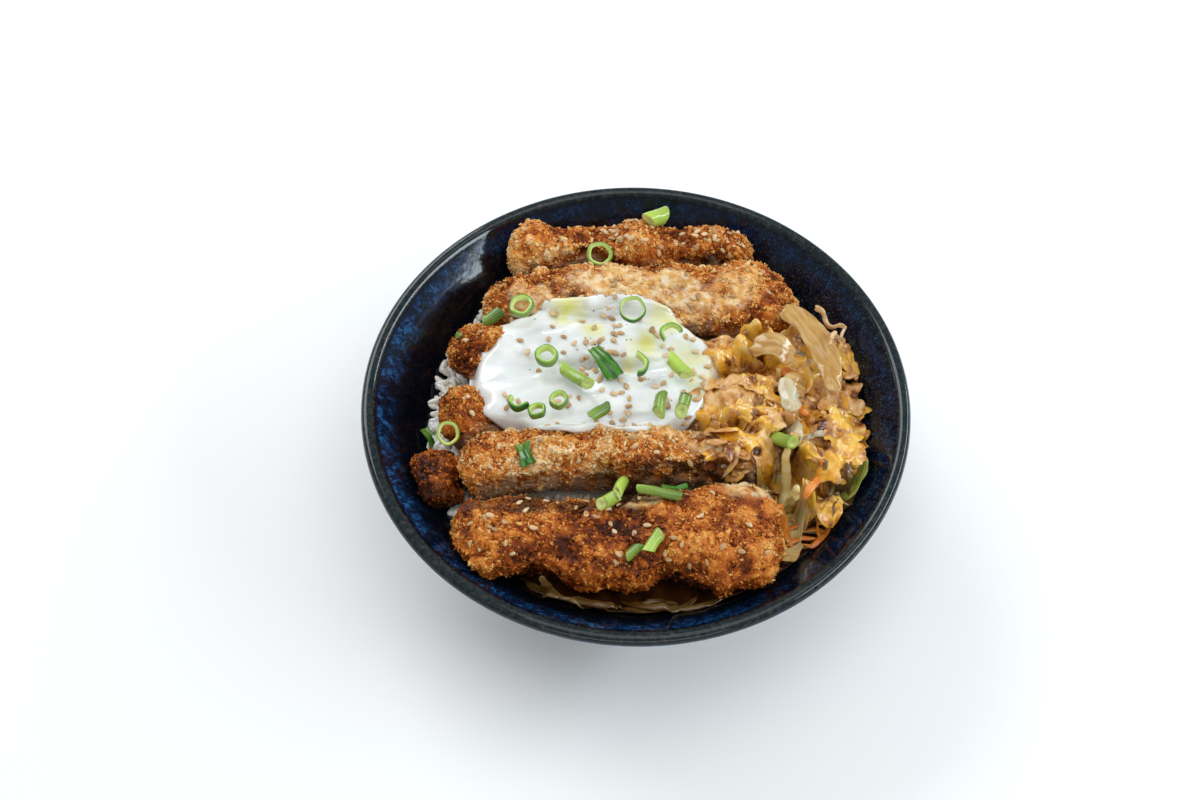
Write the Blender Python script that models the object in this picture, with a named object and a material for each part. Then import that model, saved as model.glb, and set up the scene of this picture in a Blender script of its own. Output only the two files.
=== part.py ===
"""Katsudon in its glazed stoneware bowl, at real size.

A wide bowl holds boiled rice. Six strips of a breaded pork cutlet and one short
end piece lie across the rice, a soft-set egg white covers the middle ones, and
cooked egg, onion and carrot fill the right side. Cut spring onion lies on top.
Metres, +Z up. The origin is under the middle of the foot ring, +X is to the
right of the diner and +Y is away from the diner.
"""

import math

import bmesh
import bpy
import numpy as np
from mathutils import Matrix, Vector, noise
from mathutils.bvhtree import BVHTree

MM = 0.001

# Air between touching pieces
GAP = 0.3 * MM

# Heights well above the food: where the pile is looked at from, and where a piece starts
LOOKOUT = 200 * MM
DROP_HEIGHT = 120 * MM

# Bowl
RIM_RADIUS = 105 * MM
BOWL_HEIGHT = 66 * MM
LIP_HALF_THICKNESS = 2.6 * MM
BASE_HALF_THICKNESS = 3.2 * MM
MIDDLE_OF_FLOOR = 8.5 * MM
FOOT_OUTER_RADIUS = 38 * MM
FOOT_INNER_RADIUS = 33 * MM
FOOT_RECESS = 5.3 * MM
BOWL_SEGMENTS = 56
BOWL_WALL_STEPS = 5

# Rice: its surface is a gentle slope, higher on the right
BED_LEVEL = 49.5 * MM
BED_RISE_TO_RIGHT = 0.035
RICE_SEGMENTS = 32
RICE_BUMP = 1.3 * MM
RICE_GAP = 0.6 * MM
GRAIN_LENGTH = 6.6 * MM
GRAIN_WIDTH = 2.6 * MM

# Crumbed strips
STRIP_AROUND = 16
STRIP_ALONG = 24
CRAG_SIZE = 7.5 * MM
CRAG_HEIGHT = 3.6 * MM
END_ROUNDING = 11 * MM
SIDEWAYS_BEND = 0.75 * MM
TIP_REACH = 1.6 * MM

# Egg layer: cooked egg and onion on the rice at the right, out to strips and wall
EGG_LAYER_CENTRE = (66 * MM, -8 * MM)
EGG_LAYER_REACH = 46 * MM
EGG_LAYER_THICKNESS = 3.2 * MM
EGG_LAYER_BUMP = 1.6 * MM
EGG_LAYER_BUMP_SIZE = 8 * MM
EGG_LAYER_CLEARANCE = 2.6 * MM
EGG_LAYER_SEGMENTS = 34
EGG_LAYER_RINGS = 4

# Soft sheets: the egg white and the cooked egg
SHEET_EDGE = 1.2 * MM
SHEET_RIPPLE_SIZE = 11 * MM
EGG_WHITE_THICKNESS = 4 * MM
EGG_WHITE_WAVE = 1.2 * MM
COOKED_EGG_WAVE = 1.0 * MM
COOKED_EGG_RAGGED = 0.22

# How far to the side the pile is felt under a slice that lies on the bowl's wall
WALL_REACH = 1.6 * MM

# Spring onion
RING_SIDES = 10
CURL_SIDES = 7
PLUG_SIDES = 8
PLUG_SLANT = 0.25
LEAF_THICKNESS = 0.8 * MM
LEAF_ARCH = 1.2 * MM

# Sesame
SEED_LENGTH = 3.3 * MM
SEED_WIDTH = 2.0 * MM
SEED_THICKNESS = 1.1 * MM
SEED_SPACING = 5 * MM
SEED_TO_ONION = 8.5 * MM

# Grains and seeds: share of the thickness that is sunk in, and range of sizes
SUNK_SHARE = 0.35
SMALLEST, LARGEST = 0.88, 1.1


# Scene and materials

def clear_scene():
    for obj in list(bpy.data.objects):
        bpy.data.objects.remove(obj, do_unlink=True)


def material(name, colour, roughness):
    made = bpy.data.materials.new(name)
    made.use_nodes = True
    shader = made.node_tree.nodes["Principled BSDF"]
    shader.inputs["Base Color"].default_value = (*colour, 1.0)
    shader.inputs["Roughness"].default_value = roughness
    shader.inputs["Metallic"].default_value = 0.0
    return made


def add_object(name, mesh, finish, smooth_angle=50):
    mesh.materials.append(finish)
    mesh.shade_smooth()
    mesh.set_sharp_from_angle(angle=math.radians(smooth_angle))
    obj = bpy.data.objects.new(name, mesh)
    bpy.context.scene.collection.objects.link(obj)
    return obj


def mesh_from(name, points, faces):
    """A mesh of closed triangles and quads whose normals are turned outwards."""
    mesh = bpy.data.meshes.new(name)
    mesh.from_pydata([tuple(p) for p in points], [], faces)
    shape = bmesh.new()
    shape.from_mesh(mesh)
    bmesh.ops.triangulate(shape, faces=shape.faces[:])
    bmesh.ops.recalc_face_normals(shape, faces=shape.faces[:])
    shape.to_mesh(mesh)
    shape.free()
    return mesh


# Meshes made of rings

def tube_faces(rings, around, closed_path=False, fold=None):
    """Quads between successive rings of points; open paths get a fan at each end.

    An open tube has two more points after its rings: its two end points. With a
    fold, the quads are split in two, and those from that ring on are split along
    their other diagonal, so that both faces of a folded sheet are split alike.
    """
    faces = []
    spans = rings if closed_path else rings - 1
    for i in range(spans):
        here = i * around
        there = ((i + 1) % rings) * around
        for j in range(around):
            k = (j + 1) % around
            if fold is None:
                faces.append((here + j, here + k, there + k, there + j))
            elif i < fold:
                faces.append((here + j, here + k, there + k))
                faces.append((here + j, there + k, there + j))
            else:
                faces.append((here + j, here + k, there + j))
                faces.append((here + k, there + k, there + j))
    if not closed_path:
        first_tip = rings * around
        last_tip = first_tip + 1
        last = (rings - 1) * around
        for j in range(around):
            k = (j + 1) % around
            faces.append((first_tip, k, j))
            faces.append((last_tip, last + j, last + k))
    return faces


def smooth_path(points, count):
    """A Catmull-Rom curve through the points, read at evenly spread places."""
    points = np.array(points, dtype=float)
    padded = np.vstack([2 * points[0] - points[1], points, 2 * points[-1] - points[-2]])
    places = np.linspace(0, len(points) - 1, count)
    span = np.minimum(places.astype(int), len(points) - 2)
    t = (places - span)[:, None]
    a, b, c, d = (padded[span + k] for k in range(4))
    return 0.5 * (
        2 * b + (c - a) * t + (2 * a - 5 * b + 4 * c - d) * t**2
        + (3 * b - a - 3 * c + d) * t**3
    )


def round_outline(radii, count):
    """Radii of a closed outline, given at evenly spread angles, read smoothly."""
    radii = np.array(radii, dtype=float)
    places = np.arange(count) / count * len(radii)
    span = places.astype(int)
    t = places - span
    a, b, c, d = (radii[(span + k - 1) % len(radii)] for k in range(4))
    return 0.5 * (
        2 * b + (c - a) * t + (2 * a - 5 * b + 4 * c - d) * t**2
        + (3 * b - a - 3 * c + d) * t**3
    )


# Bowl

def bowl_middle(radius):
    """Height of the middle of the wall: a parabola from the floor to the lip."""
    lip_radius = RIM_RADIUS - LIP_HALF_THICKNESS
    lip_height = BOWL_HEIGHT - LIP_HALF_THICKNESS
    return MIDDLE_OF_FLOOR + (lip_height - MIDDLE_OF_FLOOR) * (radius / lip_radius) ** 2


def bowl_wall(radius, side):
    """A point of the inner (side 1) or outer (side -1) face, square to the middle."""
    lip_radius = RIM_RADIUS - LIP_HALF_THICKNESS
    lip_height = BOWL_HEIGHT - LIP_HALF_THICKNESS
    slope = 2 * (lip_height - MIDDLE_OF_FLOOR) * radius / lip_radius**2
    share = radius / lip_radius
    half = BASE_HALF_THICKNESS * (1 - share) + LIP_HALF_THICKNESS * share
    length = math.hypot(slope, 1)
    across = -slope / length * half * side
    up = half * side / length
    return radius + across, bowl_middle(radius) + up


def bowl_profile():
    """Radius and height along the section, from the underside round to the inside."""
    lip_radius = RIM_RADIUS - LIP_HALF_THICKNESS
    lip_height = BOWL_HEIGHT - LIP_HALF_THICKNESS
    section = [
        (0.0, FOOT_RECESS),
        (FOOT_INNER_RADIUS - 1.5 * MM, FOOT_RECESS),
        (FOOT_INNER_RADIUS, 0.0),
        (FOOT_OUTER_RADIUS, 0.0),
        (FOOT_OUTER_RADIUS + 0.8 * MM, 11 * MM),
    ]
    for radius in np.linspace(FOOT_OUTER_RADIUS + 4 * MM, lip_radius, BOWL_WALL_STEPS):
        section.append(bowl_wall(radius, -1))
    outer = section[-1]
    start = math.atan2(outer[1] - lip_height, outer[0] - lip_radius)
    lip_steps = 4
    for step in range(1, lip_steps):
        angle = start + math.pi * step / lip_steps
        section.append((
            lip_radius + LIP_HALF_THICKNESS * math.cos(angle),
            lip_height + LIP_HALF_THICKNESS * math.sin(angle),
        ))
    for radius in np.linspace(lip_radius, 0.0, BOWL_WALL_STEPS + 2):
        section.append(bowl_wall(radius, 1))
    return section


def inner_face():
    """Points of the inner face from the floor up, at the middle of a flat facet."""
    lip_radius = RIM_RADIUS - LIP_HALF_THICKNESS
    flat = math.cos(math.pi / BOWL_SEGMENTS)
    points = [bowl_wall(place, 1) for place in np.linspace(0.0, lip_radius, BOWL_WALL_STEPS + 2)]
    return [(r * flat, z) for r, z in points]


INNER_FACE = inner_face()


def inner_radius(height):
    """Radius of the bowl's inner face at a height."""
    return float(np.interp(height, [p[1] for p in INNER_FACE], [p[0] for p in INNER_FACE]))


def inner_height(radius):
    """Height of the bowl's inner face at a radius."""
    return float(np.interp(radius, [p[0] for p in INNER_FACE], [p[1] for p in INNER_FACE]))


def make_bowl(finish):
    """The section is spun once round the Z axis."""
    shape = bmesh.new()
    points = [shape.verts.new((r, 0.0, z)) for r, z in bowl_profile()]
    edges = [shape.edges.new(pair) for pair in zip(points, points[1:])]
    bmesh.ops.spin(
        shape, geom=points + edges, cent=(0, 0, 0), axis=(0, 0, 1),
        angle=2 * math.pi, steps=BOWL_SEGMENTS, use_merge=True,
    )
    bmesh.ops.remove_doubles(shape, verts=shape.verts[:], dist=0.01 * MM)
    bmesh.ops.triangulate(shape, faces=shape.faces[:])
    bmesh.ops.recalc_face_normals(shape, faces=shape.faces[:])
    mesh = bpy.data.meshes.new("bowl")
    shape.to_mesh(mesh)
    shape.free()
    return add_object("bowl", mesh, finish)


# What lies in the bowl so far

class Pile:
    """The pieces laid so far, felt from above so that the next one rests on them."""

    def __init__(self):
        self.trees = []
        self.points = np.zeros((0, 3))

    def add(self, obj):
        mesh = obj.data
        points = np.empty(len(mesh.vertices) * 3)
        mesh.vertices.foreach_get("co", points)
        points = points.reshape(-1, 3)
        faces = [tuple(face.vertices) for face in mesh.polygons]
        self.trees.append(BVHTree.FromPolygons([Vector(p) for p in points], faces))
        self.points = np.vstack([self.points, points])

    def top(self, x, y):
        """Height of the highest face under a point far above."""
        best = -1.0
        for tree in self.trees:
            hit = tree.ray_cast(Vector((x, y, LOOKOUT)), Vector((0, 0, -1)))[0]
            if hit is not None:
                best = max(best, hit.z)
        return best

    def highest_within(self, x, y, reach):
        """Highest face within a distance, felt on three circles and at every corner."""
        best = self.top(x, y)
        turns = 14
        for ring in (0.4, 0.75, 1.05):
            for turn in range(turns):
                angle = (turn + ring) * 2 * math.pi / turns
                best = max(best, self.top(
                    x + reach * ring * math.cos(angle), y + reach * ring * math.sin(angle)))
        near = np.hypot(self.points[:, 0] - x, self.points[:, 1] - y) < reach
        if near.any():
            corners = self.points[near]
            open_above = [p[2] for p in corners if p[2] >= self.top(p[0], p[1]) - 0.05 * MM]
            if open_above:
                best = max(best, max(open_above))
        return best

    def slope(self, x, y, reach):
        """Unit normal of the pile's surface, felt a little way off on four sides."""
        east = self.highest_within(x + reach, y, reach / 2)
        west = self.highest_within(x - reach, y, reach / 2)
        north = self.highest_within(x, y + reach, reach / 2)
        south = self.highest_within(x, y - reach, reach / 2)
        steepest = 0.7
        rise_x = max(-steepest, min(steepest, (east - west) / (2 * reach)))
        rise_y = max(-steepest, min(steepest, (north - south) / (2 * reach)))
        return Vector((-rise_x, -rise_y, 1)).normalized()

    def let_down(self, points, faces):
        """Lower a piece straight down until it is a gap above the pile."""
        points = np.array(points, dtype=float)
        feelers = [points]
        for face in faces:
            corners = points[list(face)]
            feelers.append(corners.mean(axis=0)[None, :])
            feelers.append((corners + np.roll(corners, 1, axis=0)) / 2)
            feelers.append(corners * 0.25 + np.roll(corners, 1, axis=0) * 0.75)
            feelers.append(corners * 0.75 + np.roll(corners, 1, axis=0) * 0.25)
        drop = min(p[2] - self.top(p[0], p[1]) for p in np.vstack(feelers))
        own = BVHTree.FromPolygons([Vector(p) for p in points], faces)
        low = points[:, :2].min(axis=0)
        high = points[:, :2].max(axis=0)
        inside = (
            (self.points[:, 0] > low[0]) & (self.points[:, 0] < high[0])
            & (self.points[:, 1] > low[1]) & (self.points[:, 1] < high[1])
        )
        for x, y, z in self.points[inside]:
            hit = own.ray_cast(Vector((x, y, -0.1)), Vector((0, 0, 1)))[0]
            if hit is not None and z >= self.top(x, y) - 0.05 * MM:
                drop = min(drop, hit.z - z)
        points[:, 2] -= drop - GAP
        return points


# Fusing small things to a piece

def fuse(base, extras):
    """One union joins the small bodies to the piece, and loose scraps are dropped."""
    group = bpy.data.collections.new(base.name + "_extras")
    bpy.context.scene.collection.children.link(group)
    for mesh in extras:
        obj = bpy.data.objects.new("extra", mesh)
        group.objects.link(obj)
    union = base.modifiers.new("fuse", "BOOLEAN")
    union.operation = "UNION"
    union.operand_type = "COLLECTION"
    union.collection = group
    union.solver = "EXACT"
    depsgraph = bpy.context.evaluated_depsgraph_get()
    joined = bpy.data.meshes.new_from_object(base.evaluated_get(depsgraph))
    base.modifiers.clear()
    for obj in list(group.objects):
        bpy.data.objects.remove(obj, do_unlink=True)
    bpy.data.collections.remove(group)
    keep_largest_body(joined)
    base.data = joined
    return base


def keep_largest_body(mesh):
    shape = bmesh.new()
    shape.from_mesh(mesh)
    bmesh.ops.remove_doubles(shape, verts=shape.verts[:], dist=0.002 * MM)
    bmesh.ops.dissolve_degenerate(shape, dist=0.002 * MM, edges=shape.edges[:])
    bmesh.ops.triangulate(shape, faces=shape.faces[:])
    left = set(shape.faces)
    bodies = []
    while left:
        body = set()
        front = [left.pop()]
        while front:
            face = front.pop()
            body.add(face)
            for edge in face.edges:
                for other in edge.link_faces:
                    if other in left:
                        left.discard(other)
                        front.append(other)
        bodies.append(body)
    largest = max(bodies, key=len)
    scraps = [face for body in bodies if body is not largest for face in body]
    bmesh.ops.delete(shape, geom=scraps, context="FACES")
    shape.to_mesh(mesh)
    shape.free()


def small_body(centre, size, turn, normal):
    """A twenty-sided grain or seed, long along its turned X, lying square to normal."""
    shape = bmesh.new()
    bmesh.ops.create_icosphere(shape, subdivisions=1, radius=0.5)
    stretch = Matrix.Diagonal((*size, 1.0))
    spin = Matrix.Rotation(turn, 4, "Z")
    lean = Vector((0, 0, 1)).rotation_difference(normal).to_matrix().to_4x4()
    bmesh.ops.transform(
        shape, matrix=Matrix.Translation(centre) @ lean @ spin @ stretch, verts=shape.verts)
    mesh = bpy.data.meshes.new("small_body")
    shape.to_mesh(mesh)
    shape.free()
    return mesh


def scatter(obj, places, size, seed, round_axis=False):
    """Small bodies sunk by a share of their thickness into the top of one piece.

    They point any way, or, with the bowl's axis in the middle, roughly round it.
    """
    draw = np.random.default_rng(seed)
    own = Pile()
    own.add(obj)
    bodies = []
    for x, y in places:
        height = own.top(x, y)
        if height < 0:
            continue
        normal = own.slope(x, y, size[1])
        centre = Vector((x, y, height)) + normal * size[2] * (0.5 - SUNK_SHARE)
        grown = np.array(size) * draw.uniform(SMALLEST, LARGEST)
        turn = draw.uniform(0, math.pi)
        if round_axis:
            turn = math.atan2(y, x) + math.pi / 2 + (turn - math.pi / 2) * 0.25
        bodies.append(small_body(centre, grown, turn, normal))
    return fuse(obj, bodies)


def spread(draw, count, x_range, y_range, apart, inside):
    """Random places in a rectangle, no two closer than a distance."""
    tries_per_place = 60
    places = []
    for _ in range(count * tries_per_place):
        x = draw.uniform(*x_range)
        y = draw.uniform(*y_range)
        clear = all(math.hypot(x - a, y - b) > apart for a, b in places)
        if clear and inside(x, y):
            places.append((x, y))
        if len(places) == count:
            break
    return places


# Rice

def bed_height(x):
    return BED_LEVEL + BED_RISE_TO_RIGHT * x


def make_rice(finish):
    """The filling of the bowl up to the bed, with grain-sized bumps on top."""
    under_shares = (0.35, 0.7, 0.9)
    top_shares = (1.0, 0.93, 0.84, 0.7, 0.52, 0.3)
    edge_height = 1.6 * MM
    rings = []
    for share in under_shares + (1.0,):
        ring = []
        for i in range(RICE_SEGMENTS):
            angle = 2 * math.pi * i / RICE_SEGMENTS
            guess = inner_radius(bed_height(math.cos(angle) * RIM_RADIUS * 0.8) - edge_height)
            radius = (guess - RICE_GAP) * share
            height = inner_height(radius) + 1.4 * RICE_GAP
            ring.append((radius * math.cos(angle), radius * math.sin(angle), height))
        rings.append(ring)
    for share in top_shares:
        ring = []
        for i in range(RICE_SEGMENTS):
            angle = 2 * math.pi * i / RICE_SEGMENTS
            toward_wall = share * (inner_radius(BED_LEVEL) - 2 * RICE_GAP)
            x = toward_wall * math.cos(angle)
            y = toward_wall * math.sin(angle)
            bump = noise.noise(Vector((x, y, 0.3 * MM)) / (4 * MM))
            height = bed_height(x) - RICE_BUMP * (0.6 + 0.6 * bump)
            radius = (inner_radius(height) - 2 * RICE_GAP) * share
            ring.append((radius * math.cos(angle), radius * math.sin(angle), height))
        rings.append(ring)
    points = [p for ring in rings for p in ring]
    points.append((0, 0, inner_height(0.0) + 1.4 * RICE_GAP))
    points.append((0, 0, bed_height(0) - RICE_BUMP))
    faces = tube_faces(len(rings), RICE_SEGMENTS)
    rice = add_object("rice", mesh_from("rice", points, faces), finish)
    grain = (GRAIN_LENGTH, GRAIN_WIDTH, GRAIN_WIDTH)
    return scatter(rice, rice_places(), grain, 11, round_axis=True)


def rice_places():
    """Where grains show: the left edge, the front right corner and behind the back strip."""
    draw = np.random.default_rng(3)
    half_grain = 0.45 * GRAIN_LENGTH

    def free(x, y):
        if math.hypot(x, y) > inner_radius(bed_height(x)) - 1.4 * GRAIN_WIDTH:
            return False
        if under_egg_layer(x, y, half_grain + EGG_LAYER_CLEARANCE):
            return False
        return not any(under_strip(name, x, y, half_grain) for name in STRIPS)

    areas = (
        # count, x range, y range
        (16, (-82, -56), (-62, 60)),
        (12, (38, 68), (-76, -46)),
        (5, (42, 64), (48, 68)),
    )
    places = []
    for count, x_range, y_range in areas:
        x_range = [x * MM for x in x_range]
        y_range = [y * MM for y in y_range]
        places += spread(draw, count, x_range, y_range, 4.5 * MM, free)
    return places


# Crumbed strips

STRIPS = {
    # name: left end x, right end x, front edge y at left and right,
    #       back edge y at left and right, top at left, middle and right, seed
    "katsu_1": (-50, 47, 62, 63.5, 83, 79, 73, 75, 70, 1),
    "katsu_2": (-59, 62, 39, 30, 60.5, 62, 70, 75, 71, 2),
    "katsu_3": (-73, 42, 13, 11.5, 37.5, 28.5, 66, 68, 66, 3),
    "katsu_4": (-75, 50, -13.5, -16, 11.5, 10, 66, 68, 67, 4),
    "katsu_5": (-66, 53, -39.5, -36.5, -14.5, -17, 71, 74, 71, 5),
    "katsu_6": (-68, 51, -77, -82, -46, -41, 71, 75, 74, 6),
    "katsu_7": (-86, -67, -43, -43, -19, -19, 60, 62, 62, 7),
}


def under_strip(name, x, y, margin):
    """Whether a place is beneath a strip's own rectangle, grown by a margin."""
    left, right, front_left, front_right, back_left, back_right = (
        v * MM for v in STRIPS[name][:6])
    if x < left - margin or x > right + margin:
        return False
    share = (x - left) / (right - left)
    front = front_left + (front_right - front_left) * share
    back = back_left + (back_right - back_left) * share
    return front - margin < y < back + margin


def crag(point, seed):
    """Crumb relief, from -1 to 1: rounded lumps with sharper flakes between them."""
    place = Vector(point) / CRAG_SIZE + Vector((seed * 7.3, seed * 3.1, seed * 5.7))
    lumps = noise.noise(place)
    flakes = 1 - 2 * abs(noise.noise(place * 2.3))
    return 0.65 * lumps + 0.35 * flakes


def make_strip(name, finish):
    """A boxy section carried from the left end to the right, rounded at both ends.

    The section is a superellipse between the strip's front and back edges and
    between the rice and its top. Crumbs push it in and out, but never past its
    neighbours' edges, the bowl's wall or the rice.
    """
    row = STRIPS[name]
    left, right, front_left, front_right, back_left, back_right = (v * MM for v in row[:6])
    tops = [v * MM for v in row[6:9]]
    seed = row[9]
    squareness = 2.8
    drawn_in = 0.35
    push_along = 0.3
    sunk_across = CRAG_HEIGHT * 0.4
    sunk_up = CRAG_HEIGHT * 0.2
    reach = right - left
    rounding = min(END_ROUNDING, reach / 2)
    along = STRIP_ALONG if reach > 40 * MM else 8
    rings = []
    for i in range(along):
        share = (i + 0.35) / (along - 0.3)
        x = left + reach * share
        from_end = min(share, 1 - share) * reach
        short = max(0.0, 1 - from_end / rounding)
        fullness = (1 - short**2.4) ** (1 / 2.4)
        front = front_left + (front_right - front_left) * share
        back = back_left + (back_right - back_left) * share
        floor = bed_height(x) + GAP
        top = float(np.interp(share, (0, 0.5, 1), tops))
        middle = (front + back) / 2 + SIDEWAYS_BEND * math.sin(share * 9 + seed)
        fullness = drawn_in + (1 - drawn_in) * fullness
        half_width = (back - front) / 2 * fullness
        half_height = (top - floor) / 2 * fullness
        centre = floor + (top - floor) / 2 * (0.3 + 0.7 * fullness)
        ring = []
        for j in range(STRIP_AROUND):
            angle = 2 * math.pi * (j + 0.5) / STRIP_AROUND
            c = math.cos(angle)
            s = math.sin(angle)
            y = math.copysign(abs(c) ** (2 / squareness), c)
            z = math.copysign(abs(s) ** (2 / squareness), s)
            push = CRAG_HEIGHT * crag((x, middle + half_width * y, centre + half_height * z), seed)
            point = [
                x + push * push_along * (1 if share > 0.5 else -1) * short,
                middle + (half_width + push - sunk_across) * y,
                centre + (half_height + push - sunk_up) * z,
            ]
            point[1] = min(max(point[1], front + GAP), back - GAP)
            point[2] = max(point[2], floor)
            ring.append(inside_bowl(point))
        rings.append(ring)
    points = [p for ring in rings for p in ring]
    for ring, step in ((rings[0], -1), (rings[-1], 1)):
        tip = np.mean(ring, axis=0)
        tip[0] += step * TIP_REACH
        points.append(inside_bowl(tip))
    faces = tube_faces(len(rings), STRIP_AROUND)
    return add_object(name, mesh_from(name, points, faces), finish)


def inside_bowl(point):
    """Move a point that is in the bowl's wall square out of it, in and up by halves."""
    x, y, z = point
    clearance = 1.5 * GAP
    radius = math.hypot(x, y)
    start = radius
    for _ in range(8):
        if z > BOWL_HEIGHT + GAP:
            break
        allowed = inner_radius(min(z, BOWL_HEIGHT - LIP_HALF_THICKNESS)) - clearance
        if radius <= allowed:
            break
        excess = radius - allowed
        radius -= excess / 2
        z += excess / 2
    return (x * radius / start, y * radius / start, z)


# Egg layer

def egg_layer_reaches():
    """How far the layer goes each way before a strip or the wall stops it.

    No reach is much longer than its neighbours, so that the outline has no spikes.
    """
    step = 0.5 * MM
    longer = 6 * MM
    reaches = []
    for i in range(EGG_LAYER_SEGMENTS):
        angle = 2 * math.pi * i / EGG_LAYER_SEGMENTS
        limit = EGG_LAYER_REACH * (1 + 0.12 * math.sin(5 * angle))
        reach = step
        while reach < limit:
            x = EGG_LAYER_CENTRE[0] + reach * math.cos(angle)
            y = EGG_LAYER_CENTRE[1] + reach * math.sin(angle)
            if math.hypot(x, y) > inner_radius(bed_height(x)) - EGG_LAYER_CLEARANCE:
                break
            if any(under_strip(name, x, y, EGG_LAYER_CLEARANCE) for name in STRIPS):
                break
            reach += step
        reaches.append(reach - step)
    reaches = np.array(reaches)
    for _ in range(3):
        neighbours = np.minimum(np.roll(reaches, 1), np.roll(reaches, -1))
        reaches = np.minimum(reaches, neighbours + longer)
    return reaches


def under_egg_layer(x, y, margin):
    """Whether a place is beneath the egg layer, grown by a margin."""
    away_x = x - EGG_LAYER_CENTRE[0]
    away_y = y - EGG_LAYER_CENTRE[1]
    reaches = egg_layer_reaches()
    turn = math.atan2(away_y, away_x) / (2 * math.pi) % 1.0 * EGG_LAYER_SEGMENTS
    reach = np.interp(turn, np.arange(EGG_LAYER_SEGMENTS + 1), np.append(reaches, reaches[0]))
    return math.hypot(away_x, away_y) < reach + margin


def make_egg_layer(finish):
    """A flat underside a gap above the rice, and a bumpy top that thins to the edge."""
    angles = 2 * np.pi * np.arange(EGG_LAYER_SEGMENTS) / EGG_LAYER_SEGMENTS
    shares = np.linspace(0, 1, EGG_LAYER_RINGS + 1)[1:, None]
    reaches = egg_layer_reaches()
    x = EGG_LAYER_CENTRE[0] + shares * reaches * np.cos(angles)
    y = EGG_LAYER_CENTRE[1] + shares * reaches * np.sin(angles)
    bumps = np.array([
        [noise.noise(Vector((a, b, 0)) / EGG_LAYER_BUMP_SIZE) for a, b in zip(row, column)]
        for row, column in zip(x, y)])
    under = bed_height(x) + GAP
    fullness = 1 - shares**4
    top = under + SHEET_EDGE + (EGG_LAYER_THICKNESS - SHEET_EDGE + EGG_LAYER_BUMP * bumps) * fullness
    middle_under = bed_height(EGG_LAYER_CENTRE[0]) + GAP
    points = np.vstack([
        np.dstack([x, y, top]).reshape(-1, 3),
        np.dstack([x, y, under])[::-1].reshape(-1, 3),
        [[*EGG_LAYER_CENTRE, middle_under + EGG_LAYER_THICKNESS]],
        [[*EGG_LAYER_CENTRE, middle_under]],
    ])
    faces = tube_faces(2 * EGG_LAYER_RINGS, EGG_LAYER_SEGMENTS, fold=EGG_LAYER_RINGS)
    return add_object("egg_6", mesh_from("egg_6", points, faces), finish)


# Sheets and ribbons laid over the pile

def sheet(name, pile, centre, radii, thickness, finish, segments=24, rings=5, hole=0.0,
          ragged=0.0, wave=0.0, seed=0):
    """A soft sheet draped over the pile, with a ragged outline and perhaps a hole.

    Both faces share one polar grid. The underside follows the highest places
    under each cell, and the top follows a smoothed copy of it, thinned to the edge.
    """
    outline = round_outline(radii, segments) * MM
    angles = 2 * np.pi * np.arange(segments) / segments
    outline = outline * (1 + ragged * np.array(
        [noise.noise(Vector((math.cos(a) * 2.3, math.sin(a) * 2.3, seed))) for a in angles]))
    shares = np.linspace(hole, 1.0, rings + 1)
    if hole == 0.0:
        shares = shares[1:]
    x = centre[0] * MM + shares[:, None] * outline * np.cos(angles)
    y = centre[1] * MM + shares[:, None] * outline * np.sin(angles)
    outward = outline.max() * (1 - hole) / rings
    under = np.empty_like(x)
    for i in range(x.shape[0]):
        sideways = outline.max() * shares[i] * 2 * math.pi / segments
        for j in range(segments):
            reach = math.hypot(outward, sideways)
            under[i, j] = pile.highest_within(x[i, j], y[i, j], reach) + GAP
    soft = under.copy()
    for _ in range(2):
        padded = np.vstack([soft[:1], soft, soft[-1:]])
        soft = (padded[:-2] + padded[2:] + np.roll(soft, 1, 1) + np.roll(soft, -1, 1)) / 4
    fullness = np.clip(1 - shares[:, None] ** 3, 0, 1)
    if hole > 0:
        fullness = fullness * np.clip((shares[:, None] - hole) * 6 + 0.3, 0, 1)
    ripple = np.array([
        [noise.noise(Vector((a, b, 0.1)) / SHEET_RIPPLE_SIZE) for a, b in zip(row, column)]
        for row, column in zip(x, y)])
    top = np.maximum(soft + thickness * fullness + wave * ripple, under + SHEET_EDGE)
    upper = np.dstack([x, y, top]).reshape(-1, 3)
    lower = np.dstack([x, y, under]).reshape(-1, 3)
    count = x.shape[0]
    if hole > 0:
        points = np.vstack([upper, np.flip(lower.reshape(count, segments, 3), 0).reshape(-1, 3)])
        faces = tube_faces(2 * count, segments, closed_path=True, fold=count)
    else:
        middle_under = pile.highest_within(centre[0] * MM, centre[1] * MM, outward) + GAP
        middle_top = max(top[0].mean(), middle_under + SHEET_EDGE)
        points = np.vstack([
            upper, np.flip(lower.reshape(count, segments, 3), 0).reshape(-1, 3),
            [[centre[0] * MM, centre[1] * MM, middle_top]],
            [[centre[0] * MM, centre[1] * MM, middle_under]],
        ])
        faces = tube_faces(2 * count, segments, fold=count)
    return add_object(name, mesh_from(name, points, faces), finish)


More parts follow.
